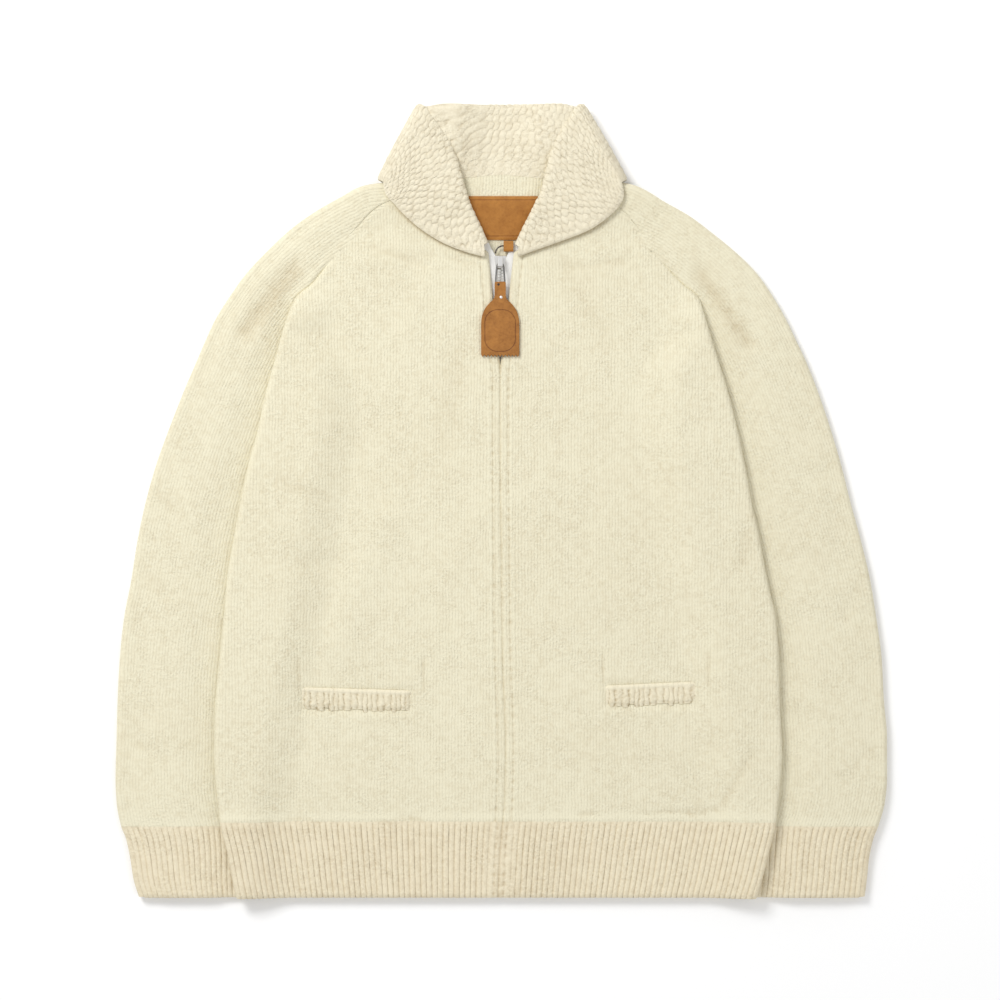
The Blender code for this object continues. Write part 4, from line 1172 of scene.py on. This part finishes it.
@dataclass
class Collar:
    """Shawl collar in one piece round the neck, in ridges that run across it."""

    thick: float = 4.4
    gap: float = 0.9
    fold_depth: float = 3.1
    fall_depth: float = 7.0
    bulge_out: float = 0.8
    outward: float = 150.0
    ridge: float = 6.1
    dash: float = 7.2
    ridge_high: float = 0.85
    seam_under: float = 1.2
    stand_rise: float = 9.4
    columns: int = 82
    stations: int = 540
    cut: tuple[float, float] = (0.66, 0.13)
    cut_share: float = 0.75

    def line(self, side: Side, u: float, turned: float) -> np.ndarray:
        """Middle line at one station, from the neck seam over the roll to the free edge.

        Args:
            side: Half of the collar.
            u: Row of the collar's chart.
            turned: How far the collar has turned to the back, in degrees.

        Returns:
            Points in millimetres.
        """
        chart = COLLAR[side]
        seam, roll, edge = (np.array((chart.at(k + "_x", u), chart.at(k + "_y", u)))
                            for k in ("seam", "roll", "edge"))
        turn = math.radians(turned)
        s = side.sign
        near = float(smooth_step(6, 7, u) * (1.0 - smooth_step(7, 8, u)))
        faces = math.radians(float(chart.at("faces", u)) + near * max(0.0, turned - 90) / 4)
        bulge = np.array((-s * math.cos(faces), math.sin(faces)))
        a = math.radians(180 - self.outward)
        out = np.array((s * math.cos(a), math.sin(a)))
        half = (self.thick + self.gap) / 2
        swing = math.sin(turn)
        inward = near * (1.0 - swing)
        centre = roll - bulge * (half + self.thick / 2) - out * (self.fold_depth + half) * inward
        seam = seam - out * self.fold_depth * inward
        edge = edge - out * self.fall_depth * inward

        def place(p: np.ndarray, radius: float) -> float:
            """Height of a point that has turned about the neck by a radius."""
            base, height = float(FORM.lower(p[0], p[1])), float(FORM.air(p[0], p[1]))
            return base + height / 2 + (height / 2 + radius) * math.cos(turn)

        stand, fall = centre - out * half * swing, centre + out * half * swing
        behind = float(smooth_step(90, 180, turned))

        def rise(p: np.ndarray) -> float:
            """How far the stand is lifted behind the neck."""
            side_on = smooth_step(6, 48, abs(p[0])) * smooth_step(302, 332, p[1])
            return self.stand_rise * behind * float(side_on)

        line = []
        under = (seam - stand) / np.linalg.norm(seam - stand) * self.seam_under
        for t in (0.0, 0.15, 0.5, 0.85, 1.0):
            p = blend(seam + under, stand, t)
            line.append((*p, place(p, 0.0) + rise(p)))
        stand_z, fall_z = place(stand, 0.0) + rise(stand), place(fall, 2 * half)
        for angle in (20, 45, 70, 90, 110, 135, 160):
            a = math.radians(angle)
            share = (1 - math.cos(a)) / 2
            p = blend(stand, fall, share) + bulge * half * math.sin(a)
            line.append((*p, blend(stand_z, fall_z, share)))
        for t in (0.0, 0.1, 0.28, 0.5, 0.75, 0.93, 1.0):
            p = blend(fall, edge, t) + out * self.bulge_out * near * math.sin(math.pi * t)
            line.append((*p, place(p, 2 * half)))
        return np.array(line)

    def build(self) -> None:
        """Makes the collar."""
        steps = ([(u, 0.0) for u in np.linspace(0, 7, 44)] + [(7.0, t) for t in np.linspace(0, 180, 14)[1:]]
                 + [(u, 180.0) for u in np.linspace(7, 11, 26)[1:]])
        left = [spread(self.line(Side.LEFT, *step), self.columns) for step in steps]
        right = [spread(self.line(Side.RIGHT, *step), self.columns) for step in steps[:-1]]
        coarse = np.array(left + right[::-1])
        middle = lengths(coarse, 0)[:, self.columns // 2]
        at = np.linspace(0.0, middle[-1], self.stations)
        flat = coarse.reshape(len(coarse), -1)
        fine = np.array([np.interp(at, middle, column) for column in flat.T]).T
        kernel = np.array((1, 2, 3, 2, 1), float) / 9
        smooth = fine.copy()
        for j in range(fine.shape[1]):
            smooth[2:-2, j] = np.convolve(fine[:, j], kernel, "valid")
        corners = (middle[50], middle[-51])
        near = sum(bell(at - corner, 20.0) for corner in corners)[:, None]
        wide = np.hanning(25)
        for j in range(fine.shape[1]):
            soft = np.convolve(fine[:, j], wide / wide.sum(), "valid")
            smooth[12:-12, j] = blend(smooth[12:-12, j], soft, np.minimum(near[12:-12, 0], 1.0))
        grid = smooth.reshape(self.stations, self.columns, 3)
        across = lengths(grid, 1)
        count = len(left)
        leans = np.interp(at, middle[[44, 58, count - 4, -58, -44]], (0.0, -0.3, 0.5, 0.45, 0.0))
        wave = (at[:, None] - leans[:, None] * across) / self.ridge
        wave = wave + 0.12 * np.sin(across / 9.0 + at[:, None] / 17.0)
        wave = wave + 0.07 * np.sin(across / 3.7 - at[:, None] / 5.0)
        cell = across / self.dash + 0.22 * np.sin(at[:, None] / 6.1)
        band = np.floor(cell)
        wave = wave + 0.5 * np.mod(band, 2.0) + 0.25 * uneven(band)
        own = uneven(np.floor(wave), band)
        bar, bead = np.sin(np.pi * np.mod(wave, 1.0)), np.sin(np.pi * np.mod(cell, 1.0))
        relief = bar ** 0.8 * (0.1 + 0.9 * bead ** 0.6) * (0.7 + 0.3 * own)
        ends = smooth_step(0, 5, at)[:, None] * smooth_step(0, 5, at[-1] - at)[:, None]
        edge = smooth_step(0, 5, across[:, -1:] - across) * smooth_step(8, 20, across)
        # Painted shade in the gaps between the ridges and at the ends of the dashes.
        shade = (0.75 * (1.0 - bar) ** 2.2 * own + 0.6 * (1.0 - bead) ** 2.2 * bar * own) * edge * ends
        lift = self.ridge_high * (relief - 0.5) * edge * ends
        lift -= 0.5 * rounding(across[:, -1:] - across, 2.2)
        normal = normals(grid)
        fall = normal[:, -6:, 2].mean() < 0
        grid = grid + normal * (-lift if fall else lift)[..., None]
        grid[..., 2] = np.maximum(grid[..., 2], self.thick / 2 + 0.1)
        knit = joined(across / self.dash, wave)
        collar = Cloth("collar_knit", "collar", grid, knit, COLLAR_WOOL, self.thick - 0.2, fall,
                       shade).build()


def front_top(x: np.ndarray, y: np.ndarray) -> np.ndarray:
    """Height of the fronts' upper face."""
    return FORM.upper(x, y) + lines_height(CREASES, x, y) + FORM.cloth / 2


@dataclass
class Pocket:
    """Set-in pocket: ribbed welt below its slit, and the bag behind the front."""

    side: Side
    left: float
    right: float
    top: float
    bag_left: float
    bag_right: float
    bag_end: float
    high: float = 21.0
    ribs: int = 10
    thick: float = 2.2
    sink: float = 1.6
    tilt: float = 0.0
    rib_high: float = 0.85
    bag_thick: float = 1.4

    def sunk(self, x: np.ndarray, y: np.ndarray) -> tuple[np.ndarray, np.ndarray]:
        """How the front gives way under the welt.

        Args:
            x: Places along X in millimetres.
            y: Places along Y in millimetres.

        Returns:
            Depth of the front below its own form, and the painted shade in the dents at the slit's ends and
            the bag's corners.
        """
        inside = within(x, y, (self.left, self.right), (self.top - self.high, self.top))
        ends = np.minimum(np.abs(x - self.left + 2), np.abs(x - self.right - 11))
        slit = bell(ends, 1.5) * smooth_step(-4, 3, y - self.top) * smooth_step(36, 24, y - self.top)
        corner = np.minimum(np.abs(x - self.bag_left - 12), np.abs(x - self.bag_right + 14))
        bag = smooth_step(17, 4, corner) * bell(y - self.bag_end + 3, 2.2)
        return self.sink * smooth_step(-6.0, 4.0, inside) + 0.7 * slit + 0.7 * bag, 0.4 * slit + 0.5 * bag

    def build(self) -> None:
        """Makes the welt and the bag."""
        name = self.side.value
        xs = np.linspace(self.left, self.right, 150)[None, :]
        ys = np.linspace(self.top, self.top - self.high, 30)[:, None]
        x, y = np.broadcast_arrays(xs, ys)
        turn = (x - self.left) / (self.right - self.left) * self.ribs
        turn = turn + 0.12 * np.sin(turn * 2.1) + 0.05 * np.sin(y / 2.3 + turn * 5.0)
        ribs, valley = rib_relief(turn, y / FORM.course)
        down = self.top - y
        lean = self.tilt * (x - (self.left + self.right) / 2)
        hang = lean + 3.4 * uneven(np.floor(2.0 * turn)) * smooth_step(self.high * 0.4, self.high, down)
        roll = bell(down - 1.6, 1.4)
        sides = np.minimum(x - self.left, self.right - x)
        ribs = self.rib_high * (ribs - 0.5) * smooth_step(2.0, 5.0, down)
        z = front_top(x, y) - self.sink + 0.3 + self.thick / 2 + ribs
        z = z + 0.6 * roll - 2.6 * (1.0 - smooth_step(0, 7, sides)) - 0.5 * rounding(down, 1.6)
        z = z - 1.3 * (1.0 - smooth_step(0, 5, self.high - down))
        y = y + hang
        # Painted shade in the rib valleys, darker near the welt's top and bottom, and a painted highlight
        # along its rolled top.
        ends = bell(down - 4.2, 1.2) + bell(self.high - down - 1.5, 1.2)
        welt = Cloth("welt_knit_" + name, "pocket_welt_" + name, joined(x, y, z),
                     joined(turn * 2.0, y / FORM.course), WELT_WOOL, self.thick, True,
                     valley * smooth_step(3.0, 5.0, down) * (0.9 + 0.8 * ends) - 0.3 * roll).build()
        xs = np.linspace(self.bag_left, self.bag_right, 30)[None, :]
        ys = np.linspace(self.top + 8, self.bag_end, 24)[:, None]
        x, y = np.broadcast_arrays(xs, ys)
        z = FORM.upper(x, y) - FORM.cloth / 2 - 1.5
        bag = Cloth("bag_knit_" + name, "pocket_bag_" + name, joined(x, y, z),
                    joined(x / FORM.wale, y / FORM.course), CREAM, self.bag_thick, True).build()


POCKET_PLACES = {
    Side.LEFT: Pocket(Side.LEFT, -189, -84, -178, -203, -72, -296, tilt=-0.03),
    Side.RIGHT: Pocket(Side.RIGHT, 97.5, 184, -173, 69, 197, -293, ribs=8, tilt=0.045),
}


def block(bm: bmesh.types.BMesh, place: tuple[float, ...], size: tuple[float, ...]) -> None:
    """Adds a block of a size in millimetres at a place."""
    made = bmesh.ops.create_cube(bm, size=1.0)["verts"]
    bmesh.ops.scale(bm, vec=[v * MM for v in size], verts=made)
    bmesh.ops.translate(bm, vec=[v * MM for v in place], verts=made)


def bevelled(thing: Piece, width: float, segments: int) -> None:
    """Rounds a hard piece's edges."""
    edges = thing.modifiers.new("edges", "BEVEL")
    edges.width = width * MM
    edges.segments = segments
    edges.limit_method = "ANGLE"
    edges.angle_limit = math.radians(35)
    edges.harden_normals = True


@dataclass
class Zip:
    """Zip down the front: woven tapes, moulded teeth, slider, wire loop and leather tab."""

    tape_wide: float = 10.6
    tape_thick: float = 0.8
    tape_up: float = 4.7
    tape_top: float = 243.0
    chain_up: float = 3.8
    slider_low: float = 219.0
    pitch: float = 2.6
    tooth: tuple[float, float, float] = (2.9, 2.3, 2.3)
    x: float = -1.0
    hinge_z: float = 13.0
    wire: float = 1.6
    loop_half: tuple[tuple[float, float], ...] = (
        (1.2, 222.4), (2.9, 222.2), (3.6, 216.0), (4.1, 209.0), (4.3, 204.8), (3.9, 203.0), (1.4, 202.9))
    tab_half: tuple[tuple[float, float], ...] = (
        (4.4, 205.9), (5.0, 205.5), (5.3, 204.8), (5.3, 193.4), (5.6, 190.9), (6.9, 188.6), (9.4, 186.5),
        (12.0, 183.7), (14.2, 180.7), (15.9, 177.3), (17.2, 173.3), (17.8, 169.9), (18.0, 166.5))
    tab_wide: float = 18.0
    tab_end: float = 135.0
    tab_thick: float = 2.4
    cut_teeth: int = 11
    cut_deep: float = 2.2
    slider_parts: tuple[tuple[tuple[float, float, float], tuple[float, float, float]], ...] = (
        ((0.0, 225.0, 4.9), (11.8, 11.9, 1.4)),
        ((0.0, 225.0, 6.8), (11.8, 11.9, 1.4)),
        ((0.0, 228.6, 6.0), (3.4, 4.2, 3.4)),
        ((0.0, 228.9, 10.6), (5.0, 2.0, 8.2)),
        ((0.0, 225.0, 14.0), (5.0, 9.8, 1.7)),
        ((0.0, 220.7, 13.0), (5.0, 1.6, 3.2)),
    )

    def tapes(self) -> None:
        """Makes both tapes."""
        ys = np.linspace(self.tape_top, FORM.hem_end, 120)[:, None]
        for side in Side:
            flare = 9.0 * smooth_step(224, 246, ys)
            centre = CENTRE.at("x", ys) + side.sign * (3.3 + self.tape_wide / 2 + flare)
            x = centre + np.linspace(-0.5, 0.5, 9)[None, :] * self.tape_wide
            z = FORM.lower(CENTRE.at("x", ys), ys) + self.tape_up
            tape = Cloth("zip_tape_weave_" + side.value, "zip_tape_" + side.value, joined(x, ys, z),
                         joined(x, ys), TAPE, self.tape_thick, True).build()

    def teeth(self) -> None:
        """Makes the closed chain of teeth."""
        bm = bmesh.new()
        count = int((self.slider_low - 0.6 - FORM.hem_end) / self.pitch)
        for k in range(count):
            y = self.slider_low - 1.6 - k * self.pitch
            centre = float(CENTRE.at("x", y))
            z = float(FORM.lower(0.0, y)) + self.chain_up
            for s in (-1.0, 1.0):
                block(bm, (centre + s * 1.55, y + s * self.pitch / 4, z), self.tooth)
        teeth = link("zip_teeth", bm, COIL)
        bevelled(teeth, 0.25, 1)
        declare(teeth, "sweater", "zip_chain")

    def tab(self) -> None:
        """Makes the leather tab, its eye and its rivet."""
        outline = [(self.x - dx, y) for dx, y in self.tab_half]
        for k in range(self.cut_teeth + 1):
            px = self.x - self.tab_wide + 2 * self.tab_wide * k / self.cut_teeth
            outline.append((px, self.tab_end + self.cut_deep))
            if k < self.cut_teeth:
                outline.append((px + self.tab_wide / self.cut_teeth, self.tab_end))
        outline += [(self.x + dx, y) for dx, y in reversed(self.tab_half)]
        bm = bmesh.new()
        low = (self.hinge_z - self.tab_thick / 2) * MM
        face = bm.faces.new([bm.verts.new((x * MM, y * MM, low)) for x, y in outline])
        grown = bmesh.ops.extrude_face_region(bm, geom=[face])["geom"]
        upper = [part for part in grown if isinstance(part, bmesh.types.BMVert)]
        bmesh.ops.translate(bm, vec=(0, 0, self.tab_thick * MM), verts=upper)
        bmesh.ops.recalc_face_normals(bm, faces=bm.faces)
        tab = link("pull_leather", bm, TAB_LEATHER)
        bevelled(tab, 0.5, 3)
        declare(tab, "pull", "pull_tab")
        self.stud("pull_rivet", (-0.2, 191.2), 1.6, 0.7, NICKEL)
        self.stud("pull_eye", (-2.6, 203.2), 1.7, 0.12, DARK_WIRE)

    def stud(self, name: str, place: tuple[float, float], radius: float, high: float, finish: Finish) -> None:
        """Small round piece on the tab.

        Args:
            name: Name of the piece.
            place: Its place on the tab.
            radius: Its radius.
            high: How far it stands out of the leather.
            finish: Its finish.
        """
        bm = bmesh.new()
        bmesh.ops.create_uvsphere(bm, u_segments=28, v_segments=14, radius=1.0)
        bmesh.ops.scale(bm, vec=(radius * MM, radius * MM, (high + 0.3) * MM), verts=bm.verts)
        bmesh.ops.translate(bm, vec=(place[0] * MM, place[1] * MM, (self.hinge_z + 0.9) * MM), verts=bm.verts)
        declare(link(name, bm, finish), "pull")

    def slider(self) -> None:
        """Makes the slider: two plates on a post, with a bridge over the loop."""
        bm = bmesh.new()
        for (x, y, z), size in self.slider_parts:
            block(bm, (self.x + x, y, z), size)
        for corner in bm.verts:
            narrow = smooth_step(223.0, 219.5, corner.co.y / MM) * smooth_step(9, 8, corner.co.z / MM)
            corner.co.x = blend(corner.co.x, self.x * MM, 0.3 * float(narrow))
        slider = link("slider_body", bm, NICKEL)
        bevelled(slider, 0.75, 4)
        declare(slider, "sweater", "zip_slider")

    def loop(self) -> None:
        """Makes the wire loop between the slider and the tab."""
        line = bpy.data.curves.new("pull_wire", "CURVE")
        line.dimensions = "3D"
        line.bevel_depth = self.wire / 2 * MM
        line.bevel_resolution = 5
        spline = line.splines.new("NURBS")
        around = [*self.loop_half, *((-x, y) for x, y in self.loop_half[::-1])]
        spline.points.add(len(around) - 1)
        for point, (x, y) in zip(spline.points, around):
            point.co = ((self.x + x) * MM, y * MM, self.hinge_z * MM, 1.0)
        spline.use_cyclic_u = True
        spline.order_u = 3
        spline.resolution_u = 8
        wire = bpy.data.objects.new("pull_wire", line)
        bpy.context.scene.collection.objects.link(wire)
        line.materials.append(WARDROBE.take(WIRE))
        declare(wire, "pull", "pull_loop")

    def build(self) -> None:
        """Makes the zip."""
        self.tapes()
        self.teeth()
        self.slider()
        self.loop()
        self.tab()
        dress("hang_ring", DARK_WIRE)


def dress(node: str, finish: Finish) -> None:
    """Gives a CAD node a better material."""
    for slot in bpy.data.objects[node].material_slots:
        slot.material = WARDROBE.take(finish)


@dataclass
class NeckTrim:
    """Leather label inside the back neck, and the hang loop below it."""

    wide: float = 88.0
    top: float = 286.5
    end: float = 246.0
    thick: float = 1.3

    def build(self) -> None:
        """Makes the label and gives the strap its leather."""
        xs = np.linspace(-self.wide / 2, self.wide / 2, 60)[None, :]
        ys = np.linspace(self.top, self.end, 34)[:, None]
        x, y = np.broadcast_arrays(xs, ys)
        z = FORM.lower(x, y) + FORM.cloth / 2 + 0.35 + self.thick / 2
        inset = within(x, y, (-self.wide / 2, self.wide / 2), (self.end, self.top))
        z = z - 0.5 * rounding(inset, 0.9)
        Cloth("neck_label_leather", "neck_label", joined(x, y, z), joined(x, y), LEATHER, self.thick,
              True).build()
        dress("hang_loop", LEATHER)


@dataclass
class Studio:
    """Camera straight above, soft light from the upper left and a pale floor."""

    lens: float = 100.0
    sensor: float = 36.0
    frame_wide: float = 0.94
    floor_size: float = 6.0
    world_light: float = 0.66
    lamps: tuple[tuple[str, tuple[float, float, float], float, float], ...] = (
        ("key", (-1.3, 1.5, 2.0), 1.0, 46.0), ("fill", (1.6, -0.8, 2.4), 1.8, 11.0))

    def build(self) -> None:
        """Makes the camera, the lights and the floor."""
        scene = bpy.context.scene
        scene.view_settings.view_transform = "Standard"
        data = bpy.data.cameras.new("camera")
        data.lens = self.lens
        data.sensor_width = self.sensor
        camera = bpy.data.objects.new("camera", data)
        scene.collection.objects.link(camera)
        camera.location = (-0.0012, 0.0005, self.frame_wide * self.lens / self.sensor + 0.015)
        scene.camera = camera
        bm = bmesh.new()
        bmesh.ops.create_grid(bm, x_segments=4, y_segments=4, size=self.floor_size / 2)
        floor = link("floor", bm, FLOOR)
        floor.location = (0.0, 0.0, -0.0004)
        world = bpy.data.worlds.new("studio")
        world.use_nodes = True
        sky = world.node_tree.nodes["Background"].inputs
        sky["Color"].default_value = (1.0, 1.0, 1.0, 1.0)
        sky["Strength"].default_value = self.world_light
        scene.world = world
        for name, place, size, power in self.lamps:
            lamp = bpy.data.lights.new(name, "AREA")
            lamp.size = size
            lamp.energy = power
            thing = bpy.data.objects.new(name, lamp)
            scene.collection.objects.link(thing)
            thing.location = place
            thing.rotation_euler = (-thing.location).to_track_quat("-Z", "Y").to_euler()


def main() -> None:
    """Builds the sweater in order."""
    logging.basicConfig(level=logging.INFO, format="%(name)s: %(message)s")
    Studio().build()
    Back().build()
    for side in Side:
        Sleeve(side).build()
        Front(side).build()
    for pocket in POCKET_PLACES.values():
        pocket.build()
    Collar().build()
    Zip().build()
    NeckTrim().build()


if __name__ == "__main__":
    main()
